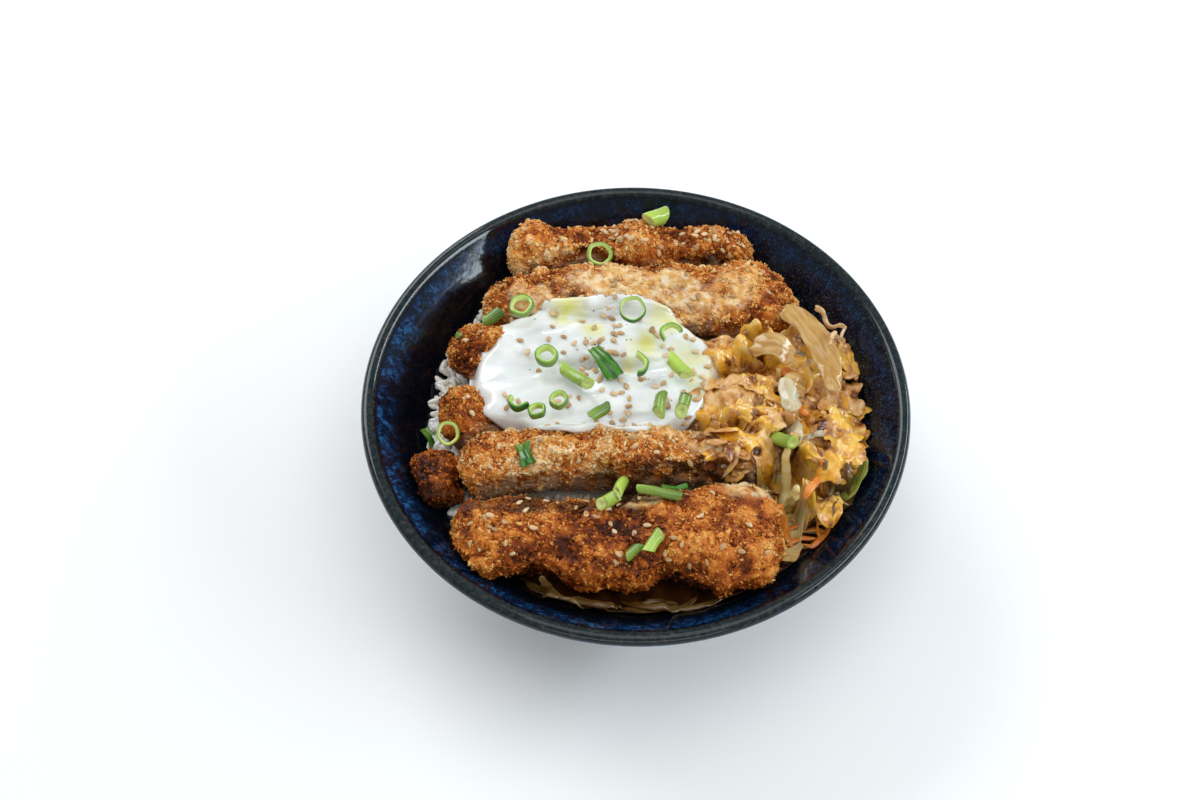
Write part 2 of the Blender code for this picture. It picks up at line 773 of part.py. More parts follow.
def ribbon(name, pile, path, width, thickness, finish, stations=9, cup=0.0, lift=0.0,
           taper=0.6, banked=False):
    """A thin slice laid over the pile along a path seen from above.

    Its section has six points, so that it can be cupped: the middle lies higher
    than the two edges. It narrows to a share of its width at both ends. A banked
    slice leans with the bowl's smooth wall, and any other lies level across.
    """
    line = smooth_path(path, stations) * MM
    width = width * MM
    thickness = thickness * MM
    along = np.gradient(line, axis=0)
    along /= np.linalg.norm(along, axis=1)[:, None]
    across = np.column_stack([-along[:, 1], along[:, 0]])
    spacing = np.linalg.norm(np.diff(line, axis=0), axis=1).max()
    ends = np.linspace(-1, 1, stations)
    half = width / 2 * (1 - (1 - taper) * ends**4)
    reach = WALL_REACH if banked else max(width / 2, spacing) * 1.05
    heights = np.array([
        [pile.highest_within(*(line[i] + across[i] * half[i] * side), reach)
         for side in (-1, 0, 1)]
        for i in range(stations)]) + GAP
    if not banked:
        heights[:] = heights.max(axis=1)[:, None]
    eased = heights.copy()
    for _ in range(2):
        padded = np.vstack([eased[:1], eased, eased[-1:]])
        eased = np.maximum(heights, (padded[:-2] + eased * 2 + padded[2:]) / 4)
    base = eased + lift * MM * np.sin(np.linspace(0, math.pi, stations))[:, None]
    points = []
    for i in range(stations):
        for side, level in ((-1, 0), (0, 0), (1, 0), (1, 1), (0, 1), (-1, 1)):
            spot = line[i] + across[i] * half[i] * side
            rise = base[i][side + 1] + thickness * level + cup * MM * (1 - abs(side))
            points.append((spot[0], spot[1], rise))
    tips = [
        np.mean(points[:6], axis=0) - np.append(along[0], 0) * thickness * 0.3,
        np.mean(points[-6:], axis=0) + np.append(along[-1], 0) * thickness * 0.3,
    ]
    faces = tube_faces(stations, 6)
    return add_object(name, mesh_from(name, points + tips, faces), finish)


# Spring onion

def ring_shape(outer, inner, height, sides, turned=1.0):
    """A slice of a tube standing on its cut face; less than a full turn is an open curl."""
    full = turned == 1.0
    count = sides if full else sides + 1
    points = []
    for i in range(count):
        angle = 2 * math.pi * turned * i / sides
        for radius, level in ((outer, 0), (outer, 1), (inner, 1), (inner, 0)):
            points.append((radius * math.cos(angle), radius * math.sin(angle), height * level))
    if full:
        return points, tube_faces(count, 4, closed_path=True)
    tips = [tuple(np.mean(points[:4], axis=0)), tuple(np.mean(points[-4:], axis=0))]
    return points + tips, tube_faces(count, 4)


def plug_shape(radius, length, sides, slant):
    """A solid length of stalk lying on its side, its ends cut at a slant."""
    points = []
    for end in (-0.5, 0.5):
        for i in range(sides):
            angle = 2 * math.pi * i / sides
            y = radius * math.cos(angle)
            z = radius * math.sin(angle)
            points.append((end * length + slant * y, y, z + radius))
    points.append((-0.5 * length, 0, radius))
    points.append((0.5 * length, 0, radius))
    return points, tube_faces(2, sides)


def leaf_shape(length, width, thickness, bend):
    """A flat piece of green leaf, arched along its length and folded along its middle."""
    stations = 5
    points = []
    for i in range(stations):
        t = i / (stations - 1)
        half = width / 2 * (0.55 + 0.45 * math.sin(math.pi * min(1, t * 1.15 + 0.12)))
        arch = bend * math.sin(math.pi * t)
        for side, level in ((-1, 0), (0, 0), (1, 0), (1, 1), (0, 1), (-1, 1)):
            fold = 0.25 * half * abs(side)
            points.append((
                (t - 0.5) * length, side * half, arch + fold + thickness * level))
    overhang = np.array((0.2 * thickness, 0, 0))
    tips = [
        tuple(np.mean(points[:6], axis=0) - overhang),
        tuple(np.mean(points[-6:], axis=0) + overhang),
    ]
    return points + tips, tube_faces(stations, 6)


def place(name, pile, shape, spot, turn, finish, tip=0.0):
    """Turn a small piece, lean it to the pile's slope and let it down at its spot."""
    points, faces = shape
    x, y = spot[0] * MM, spot[1] * MM
    normal = pile.slope(x, y, 3 * MM)
    lean = Vector((0, 0, 1)).rotation_difference(normal).to_matrix()
    turned = lean @ Matrix.Rotation(math.radians(turn), 3, "Z")
    turned = turned @ Matrix.Rotation(math.radians(tip), 3, "Y")
    moved = [turned @ Vector(p) + Vector((x, y, DROP_HEIGHT)) for p in points]
    triangles = mesh_from(name, moved, faces)
    corners = [tuple(face.vertices) for face in triangles.polygons]
    rested = pile.let_down([tuple(p) for p in moved], corners)
    for vertex, point in zip(triangles.vertices, rested):
        vertex.co = point
    return add_object(name, triangles, finish, smooth_angle=40)


# Each piece of spring onion: name, kind, x, y, turn and the kind's own sizes.
# Ring: outer radius, wall, height and share of a full turn. Plug: radius and
# length. Leaf: length and width. Millimetres and degrees, seen from above.
SPRING_ONION = (
    ("ring_1", "ring", -14, 63, 0, (5.2, 1.9, 3.0, 1.0)),
    ("ring_2", "ring", -44, 35, 20, (4.9, 1.8, 3.0, 1.0)),
    ("ring_3", "ring", -1, 32, 70, (5.4, 1.0, 2.4, 1.0)),
    ("ring_4", "ring", -34, 12, 0, (4.8, 1.9, 3.2, 1.0)),
    ("ring_5", "ring", -37, -15, 0, (3.4, 1.3, 3.0, 1.0)),
    ("ring_6", "ring", -29, -10, 0, (3.9, 1.3, 3.0, 1.0)),
    ("ring_7", "ring", -71, -15, 0, (4.6, 1.5, 2.8, 1.0)),
    ("curl_1", "ring", -43, -9, 160, (4.8, 1.2, 3.4, 0.42)),
    ("curl_2", "ring", -1, 8, -70, (5.4, 1.4, 3.2, 0.4)),
    ("curl_3", "ring", 14, 22, 20, (4.4, 1.4, 3.0, 0.55)),
    ("plug_1", "plug", -23, 1, -42, (2.6, 13)),
    ("plug_2", "plug", -14, -17, 30, (2.3, 6)),
    ("plug_3", "plug", 8.5, -13, 80, (2.5, 8)),
    ("plug_4", "plug", 17.5, -12, 70, (2.6, 7)),
    ("plug_5", "plug", 16, 6, -52, (2.8, 9)),
    ("plug_6", "plug", 8, -50, -15, (1.8, 15)),
    ("plug_7", "plug", -6, -46, 75, (2.2, 8)),
    ("plug_8", "plug", -10, -54, 25, (2.4, 6)),
    ("plug_9", "plug", 5, -70, 50, (2.4, 6)),
    ("plug_10", "plug", -2, -73, 35, (1.9, 5)),
    ("plug_11", "plug", 56, -27, -52, (2.7, 11)),
    ("plug_12", "plug", -55, 36, 20, (2.3, 6)),
    ("plug_13", "plug", 9, 77, 10, (3.3, 5)),
    ("leaf_1", "leaf", -12, 9, -58, (16, 7.5)),
    ("leaf_2", "leaf", -41, -31, -75, (9, 7)),
    ("leaf_3", "leaf", 14, -43, 5, (9, 5)),
    ("leaf_4", "leaf", -66, 30, 15, (8, 4)),
    ("leaf_5", "leaf", -80, -8, -50, (8, 6)),
)

# Slices laid along a path before the cooked egg: name, material, path, width,
# thickness, cup, lift, and whether it leans with the bowl's wall
SLICES = (
    ("carrot_3", "carrot", ((51, -53), (55, -56), (58, -60)), 3.6, 1.8, 0.2, 0.0, False),
    ("onion_3", "onion", ((-35, -79), (-22, -83), (-9, -85)), 3.8, 1.4, 0.3, 0.0, True),
    ("onion_4", "onion", ((-6, -85), (4, -85), (14, -83)), 4.2, 1.4, 0.3, 0.0, True),
    ("onion_5", "onion", ((44, -71.5), (53, -67), (61, -60)), 4.5, 1.6, 0.6, 0.0, True),
    ("onion_6", "onion", ((55.5, -31), (56, -42), (58, -53)), 6.5, 2.2, 1.6, 0.5, False),
    ("leek_1", "leek", ((77, -41), (82.5, -33), (86, -23)), 6.5, 1.6, 0.8, 0.0, True),
)

# Slices and shreds on top of the cooked egg
TOP_SLICES = (
    ("carrot_1", "carrot", ((57, 13), (61, 11.5), (65, 8)), 5.0, 1.8, 0.2, 0.0, False),
    ("onion_1", "onion", ((57, 3), (61, 5), (66, 3)), 7.0, 2.0, 1.4, 0.0, False),
    ("carrot_2", "carrot", ((58, -4), (62, -3), (66, -5)), 3.6, 1.8, 0.2, 0.0, False),
    ("onion_2", "onion", ((57, 3), (58, -5), (59, -13)), 6.0, 1.8, 1.0, 0.0, False),
    ("carrot_4", "carrot", ((60, -53), (64, -48), (66, -42)), 3.4, 1.8, 0.2, 0.0, False),
    ("onion_7", "onion", ((58, 35), (67, 27), (73.5, 14), (76, 0)), 9.0, 2.2, 1.6, 0.6, False),
    ("onion_8", "onion", ((45, 18), (53, 18), (61, 14)), 8.5, 2.0, 1.6, 0.6, False),
    ("shred_1", "onion", ((74, 17), (79, 26), (83, 35)), 3.2, 2.4, 0.3, 0.0, False),
    ("shred_2", "onion", ((69, 34), (75, 31), (81, 28)), 3.0, 2.0, 0.3, 0.0, False),
)

# Cooked egg: name, centre, radii of the outline, thickness and hole share
COOKED_EGG = (
    ("egg_1", (66, -45), (9, 9.5, 9, 7, 6, 6, 7, 8, 9.5, 9.5), 4.0, 0.0),
    ("egg_3", (66, 22), (14, 15, 15, 12, 11, 13, 14, 12, 12, 14), 5.0, 0.0),
    ("egg_2", (70, -21), (14, 16, 19, 17, 13, 12, 13, 17, 19, 16), 4.5, 0.13),
    ("egg_5", (47, 24), (8, 7, 7, 7, 8, 8, 8, 8, 9, 9), 5.0, 0.0),
    ("egg_4", (45, -8), (15, 16, 16, 16, 15, 13, 10, 10, 13, 14), 3.0, 0.1),
)

# The soft egg white: its centre and the radii of its outline
EGG_WHITE_CENTRE = (-14, 11)
EGG_WHITE_RADII = (47, 43, 38, 34, 38, 46, 51, 46, 37, 34, 38, 44)

SEEDED = (
    # node, number of sesame seeds, x range, y range, seed
    ("katsu_1", 6, (-5, 38), (62, 76), 21),
    ("katsu_5", 4, (-40, 45), (-34, -24), 22),
    ("katsu_6", 7, (-40, 45), (-72, -50), 23),
    ("egg_white", 20, (-35, 34), (-20, 42), 24),
)


def spring_onion_shape(kind, sizes):
    if kind == "ring":
        outer, wall, height, turned = sizes
        sides = RING_SIDES if turned == 1.0 else CURL_SIDES
        return ring_shape(outer * MM, (outer - wall) * MM, height * MM, sides, turned)
    if kind == "plug":
        radius, length = sizes
        return plug_shape(radius * MM, length * MM, PLUG_SIDES, PLUG_SLANT)
    length, width = sizes
    return leaf_shape(length * MM, width * MM, LEAF_THICKNESS, LEAF_ARCH)


def add_sesame(obj, count, x_range, y_range, seed):
    draw = np.random.default_rng(seed)
    own = Pile()
    own.add(obj)
    x_range = [x * MM for x in x_range]
    y_range = [y * MM for y in y_range]

    def clear(x, y):
        to_onion = [math.hypot(x - row[2] * MM, y - row[3] * MM) for row in SPRING_ONION]
        if min(to_onion) < SEED_TO_ONION:
            return False
        steady = own.slope(x, y, SEED_WIDTH).z > 0.85
        return steady and own.top(x, y) > BOWL_HEIGHT

    places = spread(draw, count, x_range, y_range, SEED_SPACING, clear)
    return scatter(obj, places, (SEED_LENGTH, SEED_WIDTH, SEED_THICKNESS), seed)


def main():
    clear_scene()
    glaze = material("dark_blue_glaze", (0.01, 0.02, 0.05), 0.12)
    rice_white = material("boiled_rice", (0.78, 0.75, 0.68), 0.45)
    crumb = material("fried_crumb", (0.45, 0.2, 0.07), 0.6)
    soft_white = material("soft_egg_white", (0.85, 0.84, 0.78), 0.25)
    cooked = material("cooked_egg", (0.75, 0.5, 0.15), 0.4)
    green = material("spring_onion", (0.16, 0.35, 0.04), 0.35)
    slice_finishes = {
        "carrot": material("carrot", (0.7, 0.2, 0.04), 0.35),
        "onion": material("simmered_onion", (0.65, 0.5, 0.28), 0.3),
        "leek": material("leek", (0.35, 0.4, 0.08), 0.3),
    }
    seeded = {row[0]: row[1:] for row in SEEDED}

    pile = Pile()
    pile.add(make_bowl(glaze))
    pile.add(make_rice(rice_white))
    for name in STRIPS:
        strip = make_strip(name, crumb)
        if name in seeded:
            strip = add_sesame(strip, *seeded[name])
        pile.add(strip)

    def lay(rows):
        for name, finish, path, width, thickness, cup, lift, banked in rows:
            pile.add(ribbon(
                name, pile, path, width, thickness, slice_finishes[finish], stations=7,
                cup=cup, lift=lift, banked=banked))

    pile.add(make_egg_layer(cooked))
    lay(SLICES)
    for name, centre, radii, thickness, hole in COOKED_EGG:
        pile.add(sheet(
            name, pile, centre, radii, thickness * MM, cooked, segments=16, rings=3, hole=hole,
            ragged=COOKED_EGG_RAGGED, wave=COOKED_EGG_WAVE, seed=centre[0]))
    lay(TOP_SLICES)
    white = sheet(
        "egg_white", pile, EGG_WHITE_CENTRE, EGG_WHITE_RADII, EGG_WHITE_THICKNESS, soft_white,
        segments=28, rings=5, wave=EGG_WHITE_WAVE)
    pile.add(add_sesame(white, *seeded["egg_white"]))
    for name, kind, x, y, turn, sizes in SPRING_ONION:
        shape = spring_onion_shape(kind, sizes)
        pile.add(place("scallion_" + name, pile, shape, (x, y), turn, green))


main()
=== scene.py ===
"""Looks of a katsudon in its glazed bowl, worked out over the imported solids.

Every surface is in metres, in the frame of the solids: the bowl's foot ring stands
on z = 0, +X is to the right of the diner and +Y is away from the diner.
"""
import math

import bmesh
import bpy
import numpy as np
from mathutils import Matrix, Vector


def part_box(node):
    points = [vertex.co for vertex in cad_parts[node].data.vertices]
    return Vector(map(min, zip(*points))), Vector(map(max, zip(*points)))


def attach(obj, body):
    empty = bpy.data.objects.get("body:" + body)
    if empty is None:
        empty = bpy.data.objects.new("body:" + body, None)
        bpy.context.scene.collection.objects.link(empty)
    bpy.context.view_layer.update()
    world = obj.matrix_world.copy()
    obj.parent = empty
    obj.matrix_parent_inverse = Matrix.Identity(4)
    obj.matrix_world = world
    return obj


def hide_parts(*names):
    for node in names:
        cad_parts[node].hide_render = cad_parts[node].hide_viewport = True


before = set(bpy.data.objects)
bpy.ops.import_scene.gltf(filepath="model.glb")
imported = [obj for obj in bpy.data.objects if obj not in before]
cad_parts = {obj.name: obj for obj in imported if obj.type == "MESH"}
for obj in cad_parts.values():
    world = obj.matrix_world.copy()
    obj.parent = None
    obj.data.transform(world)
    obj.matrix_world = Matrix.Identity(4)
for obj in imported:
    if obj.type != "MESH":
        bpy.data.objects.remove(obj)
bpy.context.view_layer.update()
MM = 0.001


# Bowl
# A thrown stoneware bowl with a turned foot ring, dipped in a dark blue glaze. The
# glaze runs thin and grey-green over the lip and gathers in a mottled blue band
# below it; the foot ring is bare clay.

rim_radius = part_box("bowl")[1].x
bowl_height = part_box("bowl")[1].z
lip_half = 2.6 * MM
base_half = 3.2 * MM
floor_middle = 8.5 * MM
foot_inner, foot_outer, foot_recess = 33 * MM, 38 * MM, 5.3 * MM
lip_radius = rim_radius - lip_half
lip_height = bowl_height - lip_half
ripple_width, ripple_depth = 5.2 * MM, 0.07 * MM


def lattice_random(cell, salt):
    """A repeatable number from 0 to 1 for each cell: the fraction of a large sine."""
    mixed = np.sin(cell @ np.array((127.1, 311.7, 74.7)) + 19.19 * salt) * 43758.5453
    return mixed - np.floor(mixed)


def lumps(points, size, salt=0):
    """Soft noise from -1 to 1: random heights on a lattice, eased between its corners."""
    place = points / size
    cell = np.floor(place)
    share = place - cell
    share = share * share * (3 - 2 * share)
    total = np.zeros(points.shape[:-1])
    for corner in range(8):
        step = np.array((corner & 1, corner >> 1 & 1, corner >> 2))
        weight = np.prod(np.where(step, share, 1 - share), axis=-1)
        total += weight * lattice_random(cell + step, salt)
    return total * 2 - 1


def closed_skin(rings):
    """Points and faces of a skin over successive rings, with a fan closing each end."""
    count, around = rings.shape[:2]
    tips = rings[[0, -1]].mean(axis=1)
    points = np.vstack([rings.reshape(-1, 3), tips])
    start = np.arange(count - 1)[:, None] * around
    j = np.arange(around)
    k = (j + 1) % around
    quads = np.stack([start + j, start + k, start + around + k, start + around + j], axis=-1)
    last = (count - 1) * around
    first_fan = np.column_stack([np.full(around, count * around), k, j])
    last_fan = np.column_stack([np.full(around, count * around + 1), last + j, last + k])
    return points, [quads.reshape(-1, 4), np.vstack([first_fan, last_fan])]


def piece(name, points, faces, finish, stands_for=(), layers=None):
    """A smooth mesh that faces outwards, with one number per point for each layer.

    The sign of the enclosed volume, summed over the faces' first three corners,
    tells whether the faces have to be turned round.
    """
    corners = [points[f] for f in faces]
    volume = sum(
        np.einsum("ij,ij->", c[:, 0], np.cross(c[:, i], c[:, i + 1]))
        for c in corners for i in range(1, c.shape[1] - 1))
    if volume < 0:
        faces = [f[:, ::-1] for f in faces]
    sizes = np.concatenate([np.full(len(f), f.shape[1]) for f in faces])
    mesh = bpy.data.meshes.new(name)
    mesh.vertices.add(len(points))
    mesh.vertices.foreach_set("co", np.ascontiguousarray(points, dtype=np.float32).ravel())
    mesh.loops.add(int(sizes.sum()))
    mesh.loops.foreach_set(
        "vertex_index", np.concatenate([f.ravel() for f in faces]).astype(np.int32))
    mesh.polygons.add(len(sizes))
    mesh.polygons.foreach_set("loop_start", (np.cumsum(sizes) - sizes).astype(np.int32))
    mesh.update(calc_edges=True)
    mesh.shade_smooth()
    for layer, values in (layers or {}).items():
        attribute = mesh.attributes.new(layer, "FLOAT", "POINT")
        attribute.data.foreach_set("value", np.ascontiguousarray(values, dtype=np.float32))
    mesh.materials.append(finish)
    made = bpy.data.objects.new(name, mesh)
    bpy.context.scene.collection.objects.link(made)
    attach(made, "root")
    if stands_for:
        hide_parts(*stands_for)
    return made


def new_finish(name, roughness, settings=None):
    """A Principled material with its plain values set on the shader's own sockets."""
    made = bpy.data.materials.new(name)
    made.use_nodes = True
    shader = made.node_tree.nodes["Principled BSDF"]
    shader.inputs["Roughness"].default_value = roughness
    for socket, value in (settings or {}).items():
        shader.inputs[socket].default_value = value
    return made


def add_node(finish, kind, inputs=None, output=0, **settings):
    """One shader node; each input is a plain value or another node's output."""
    made = finish.node_tree.nodes.new(kind)
    for key, value in settings.items():
        setattr(made, key, value)
    for key, value in (inputs or {}).items():
        if isinstance(value, bpy.types.NodeSocket):
            finish.node_tree.links.new(value, made.inputs[key])
        else:
            made.inputs[key].default_value = value
    return made.outputs[output]


def place_of(finish, scale=(1, 1, 1)):
    """The place on the piece in metres, stretched by a scale on each axis."""
    place = add_node(finish, "ShaderNodeTexCoord", output=3)
    return add_node(finish, "ShaderNodeMapping", {"Vector": place, "Scale": scale})


def noise_of(finish, size, detail=2.0, stretch=(1, 1, 1), distortion=0.0):
    """Noise from 0 to 1 whose lumps have that size in metres."""
    return add_node(finish, "ShaderNodeTexNoise", {
        "Vector": place_of(finish, stretch), "Scale": 1 / size, "Detail": detail,
        "Distortion": distortion})


def layer_of(finish, name):
    """The number that one of the piece's layers holds at each point."""
    return add_node(finish, "ShaderNodeAttribute", output=2, attribute_name=name)


def sum_of(finish, first, second, operation="ADD"):
    """Two values added, or joined by another operation of the same node."""
    return add_node(finish, "ShaderNodeMath", {0: first, 1: second}, operation=operation)


def product_of(finish, first, second):
    """Two values multiplied."""
    return sum_of(finish, first, second, "MULTIPLY")


def ramp_of(finish, value, stops):
    """Colours at places from 0 to 1 along a value."""
    made = finish.node_tree.nodes.new("ShaderNodeValToRGB")
    elements = made.color_ramp.elements
    while len(elements) < len(stops):
        elements.new(0.5)
    for element, (place, colour) in zip(elements, stops):
        element.position = place
        element.color = (*colour, 1.0)
    finish.node_tree.links.new(value, made.inputs[0])
    return made.outputs[0]


def span_of(finish, value, low, high, to_low=0.0, to_high=1.0):
    """A value's span eased to another span, held at both ends."""
    return add_node(finish, "ShaderNodeMapRange", {
        "Value": value, "From Min": low, "From Max": high, "To Min": to_low,
        "To Max": to_high}, interpolation_type="SMOOTHSTEP")


def mix_of(finish, share, first, second):
    """Two colours mixed by a share; each is a plain colour or a node's output."""
    made = finish.node_tree.nodes.new("ShaderNodeMix")
    made.data_type = "RGBA"
    for index, value in ((0, share), (6, first), (7, second)):
        if isinstance(value, bpy.types.NodeSocket):
            finish.node_tree.links.new(value, made.inputs[index])
        else:
            made.inputs[index].default_value = value if index == 0 else (*value, 1.0)
    return made.outputs[2]


def dress(finish, colour=None, roughness=None, heights=(), extra=None):
    """Join a material's colour, roughness and bumps to its shader.

    Each bump is a height output, its strength and its depth in metres.
    """
    shader = finish.node_tree.nodes["Principled BSDF"]
    links = finish.node_tree.links
    if colour is not None:
        links.new(colour, shader.inputs["Base Color"])
    if roughness is not None:
        links.new(roughness, shader.inputs["Roughness"])
    normal = None
    for height, strength, depth in heights:
        inputs = {"Height": height, "Strength": strength, "Distance": depth}
        if normal is not None:
            inputs["Normal"] = normal
        normal = add_node(finish, "ShaderNodeBump", inputs)
    if normal is not None:
        links.new(normal, shader.inputs["Normal"])
    for socket, value in (extra or {}).items():
        links.new(value, shader.inputs[socket])


def wall_at(radius, side):
    """Inner (1) or outer (-1) face: half the wall's thickness square to a parabola."""
    rise = lip_height - floor_middle
    share = radius / lip_radius
    slope = 2 * rise * share / lip_radius
    half = base_half * (1 - share) + lip_half * share
    length = np.hypot(slope, 1)
    return np.column_stack([
        radius - slope / length * half * side,
        floor_middle + rise * share**2 + half * side / length])


def bowl_section():
    """The section from under the middle, over the foot, the wall and the lip, to the inside."""
    corner = 0.8 * MM
    turn = np.linspace(0, math.pi / 2, 5)
    foot_inside = np.column_stack([
        foot_inner + corner - corner * np.cos(turn), corner - corner * np.sin(turn)])
    foot_outside = np.column_stack([
        foot_outer - corner + corner * np.sin(turn), corner - corner * np.cos(turn)])
    outer = wall_at(np.linspace(foot_outer + 5 * MM, lip_radius, 60), -1)
    start = math.atan2(outer[-1, 1] - lip_height, outer[-1, 0] - lip_radius)
    over = start + math.pi * np.linspace(0, 1, 14)[1:-1]
    lip = np.column_stack([
        lip_radius + lip_half * np.cos(over), lip_height + lip_half * np.sin(over)])
    inner = wall_at(np.linspace(lip_radius, 0.5 * MM, 110), 1)
    return np.vstack([
        [[0.5 * MM, foot_recess], [foot_inner - 3 * MM, foot_recess],
         [foot_inner - 0.5 * MM, foot_recess - 1.5 * MM]],
        foot_inside, foot_outside,
        [[foot_outer + 0.4 * MM, 6 * MM], [foot_outer + 0.9 * MM, 10 * MM],
         [foot_outer + 2.0 * MM, 11.6 * MM]],
        outer, lip, inner])


def inner_radius(height):
    """Radius of the bowl's inner face at a height."""
    face = wall_at(np.linspace(0, lip_radius, 80), 1)
    return np.interp(height, face[:, 1], face[:, 0])


def inner_height(radius):
    """Height of the bowl's inner face at a radius."""
    face = wall_at(np.linspace(0, lip_radius, 80), 1)
    return np.interp(radius, face[:, 0], face[:, 1])


def bowl_rings(section, around=256):
    """The section carried round Z, with faint throwing ripples in the wall."""
    angle = 2 * math.pi * np.arange(around) / around
    radius = section[:, 0, None] + 0 * angle
    height = section[:, 1, None] + 0 * angle
    rings = np.dstack([radius * np.cos(angle), radius * np.sin(angle), height])
    wave = np.sin(2 * math.pi * (height * 1.6 + radius) / ripple_width)
    softness = np.clip((radius - foot_outer) / (12 * MM), 0, 1)
    softness = softness * np.clip((lip_height + lip_half - height) / (9 * MM), 0, 1)
    push = ripple_depth * wave * softness * (0.6 + 0.4 * lumps(rings, 30 * MM, 3))
    return np.dstack([
        (radius + push) * np.cos(angle), (radius + push) * np.sin(angle), height])


def glaze_finish():
    """Near-black glaze: a ragged blue band hangs below the lip; its strength, highest at the front left
    and lowest at the back right, is painted reflection.
    """
    finish = new_finish("dark_blue_glaze", 0.09, {"IOR": 1.38})
    place = add_node(finish, "ShaderNodeTexCoord", output=3)
    sideways = add_node(finish, "ShaderNodeSeparateXYZ", {0: place}, output=0)
    height = add_node(finish, "ShaderNodeSeparateXYZ", {0: place}, output=2)
    radius = add_node(finish, "ShaderNodeVectorMath", {
        0: place, 1: (1, 1, 0)}, operation="MULTIPLY")
    radius = add_node(finish, "ShaderNodeVectorMath", {0: radius}, output=1, operation="LENGTH")
    runs = noise_of(finish, 5 * MM, 3.0, (1, 1, 0.3), 0.6)
    mottle = noise_of(finish, 1.7 * MM, 4.0, (1, 1, 0.6), 0.8)
    fleck = add_node(finish, "ShaderNodeTexVoronoi", {
        "Vector": place_of(finish), "Scale": 1 / (0.75 * MM)})
    fleck = span_of(finish, fleck, 0.08, 0.44, 1.0, 0.0)
    # The band's strength by direction is painted reflection: full at the front left, fading to 0.42 at
    # the back right.
    toward_painted_reflection = add_node(finish, "ShaderNodeVectorMath", {
        0: place, 1: (-0.85, -0.53, 0)}, output=1, operation="DOT_PRODUCT")
    strength = span_of(finish, toward_painted_reflection, -70 * MM, 85 * MM, 0.42, 1.0)
    ragged = sum_of(finish, height, product_of(finish, runs, 8 * MM))
    band = span_of(finish, ragged, lip_height - 4.5 * MM, lip_height + 2.5 * MM)
    band = product_of(finish, band, span_of(
        finish, height, lip_height - 0.6 * MM, lip_height + 1.0 * MM, 1.0, 0.0))
    blue = product_of(finish, product_of(finish, band, strength), span_of(
        finish, mottle, 0.34, 0.62, 0.25, 1.0))
    blue = product_of(finish, blue, span_of(finish, runs, 0.38, 0.58, 0.3, 1.0))
    colour = ramp_of(finish, blue, (
        (0.0, (0.0015, 0.0026, 0.0050)), (0.3, (0.002, 0.009, 0.028)),
        (0.65, (0.003, 0.024, 0.080)), (1.0, (0.010, 0.085, 0.21))))
    to_right = span_of(finish, sideways, 10 * MM, 95 * MM, 0.10, 0.75)
    specks = product_of(finish, fleck, sum_of(finish, to_right, blue, "MAXIMUM"))
    specks = product_of(finish, specks, span_of(finish, mottle, 0.4, 0.6))
    colour = mix_of(finish, specks, colour, (0.05, 0.13, 0.25))
    edge = span_of(
        finish, sum_of(finish, height, product_of(finish, mottle, 1.4 * MM)),
        lip_height + 1.4 * MM, lip_height + 2.8 * MM)
    worn = ramp_of(finish, mottle, (
        (0.3, (0.004, 0.007, 0.008)), (0.55, (0.014, 0.024, 0.027)), (0.75, (0.06, 0.042, 0.03))))
    colour = mix_of(finish, edge, colour, worn)
    near_foot = span_of(finish, radius, foot_outer + 1.2 * MM, foot_outer + 2.6 * MM, 1.0, 0.0)
    low = span_of(finish, height, 6.0 * MM, 7.2 * MM, 1.0, 0.0)
    bare = product_of(finish, near_foot, low)
    clay = ramp_of(finish, noise_of(finish, 1.5 * MM, 4.0), (
        (0.3, (0.16, 0.11, 0.075)), (0.7, (0.30, 0.22, 0.155))))
    colour = mix_of(finish, bare, colour, clay)
    roughness = span_of(finish, bare, 0.0, 1.0, 0.09, 0.75)
    dress(finish, colour, roughness, (
        (noise_of(finish, 4.5 * MM, 2.0, (1, 1, 0.6)), 0.16, 0.3 * MM),
        (fleck, 0.04, 0.05 * MM)))
    return finish


points, faces = closed_skin(bowl_rings(bowl_section()))
piece("glazed_bowl", points, faces, glaze_finish(), ["bowl"])


# Rice
# Boiled short-grain rice fills the bowl up to a gentle slope that is higher on the
# right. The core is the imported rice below, and the loose grains lie on top where no
# cutlet covers them. The grains are glossy and turn translucent at their ends.

bed_level = 49.5 * MM
bed_rise = 0.035
grain_size = np.array((5.8, 2.8, 2.5)) * MM
cutlet_names = [name for name in sorted(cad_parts) if name.startswith("katsu")]


def bed_height(x):
    """Height of the rice's surface: it rises evenly to the right."""
    return bed_level + bed_rise * x


def rice_core_rings(around=180, along=70):
    """A polar grid: the underside follows the bowl, and the top is the bed with grain lumps."""
    angle = 2 * math.pi * np.arange(around) / around
    gap = 0.9 * MM
    share = np.linspace(0.01, 1.0, along)[:, None]
    edge = inner_radius(bed_height(np.cos(angle) * rim_radius * 0.8) - 2.4 * MM) - gap
    radius = share * edge
    x, y = radius * np.cos(angle), radius * np.sin(angle)
    under = np.dstack([x, y, inner_height(radius) + 1.4 * gap])
    flat = np.dstack([x, y, bed_height(x)])
    grains = np.abs(lumps(flat * (1, 1, 0), 2.6 * MM, 5)) + 0.5 * lumps(flat, 5 * MM, 6)
    top = np.dstack([x, y, bed_height(x) - 1.9 * MM + 1.1 * MM * grains])
    top[..., 2] = np.maximum(top[..., 2], under[..., 2] + 0.3 * MM)
    return np.vstack([under, top[::-1]])


def frames_on(normals, turns):
    """Three axes for each item: the last is its normal, and the first is turned about it."""
    normals = normals / np.linalg.norm(normals, axis=1)[:, None]
    side = np.cross(normals, (0.0, 1.0, 0.013))
    side /= np.linalg.norm(side, axis=1)[:, None]
    other = np.cross(normals, side)
    first = side * np.cos(turns)[:, None] + other * np.sin(turns)[:, None]
    second = np.cross(normals, first)
    return np.stack([first, second, normals], axis=1)


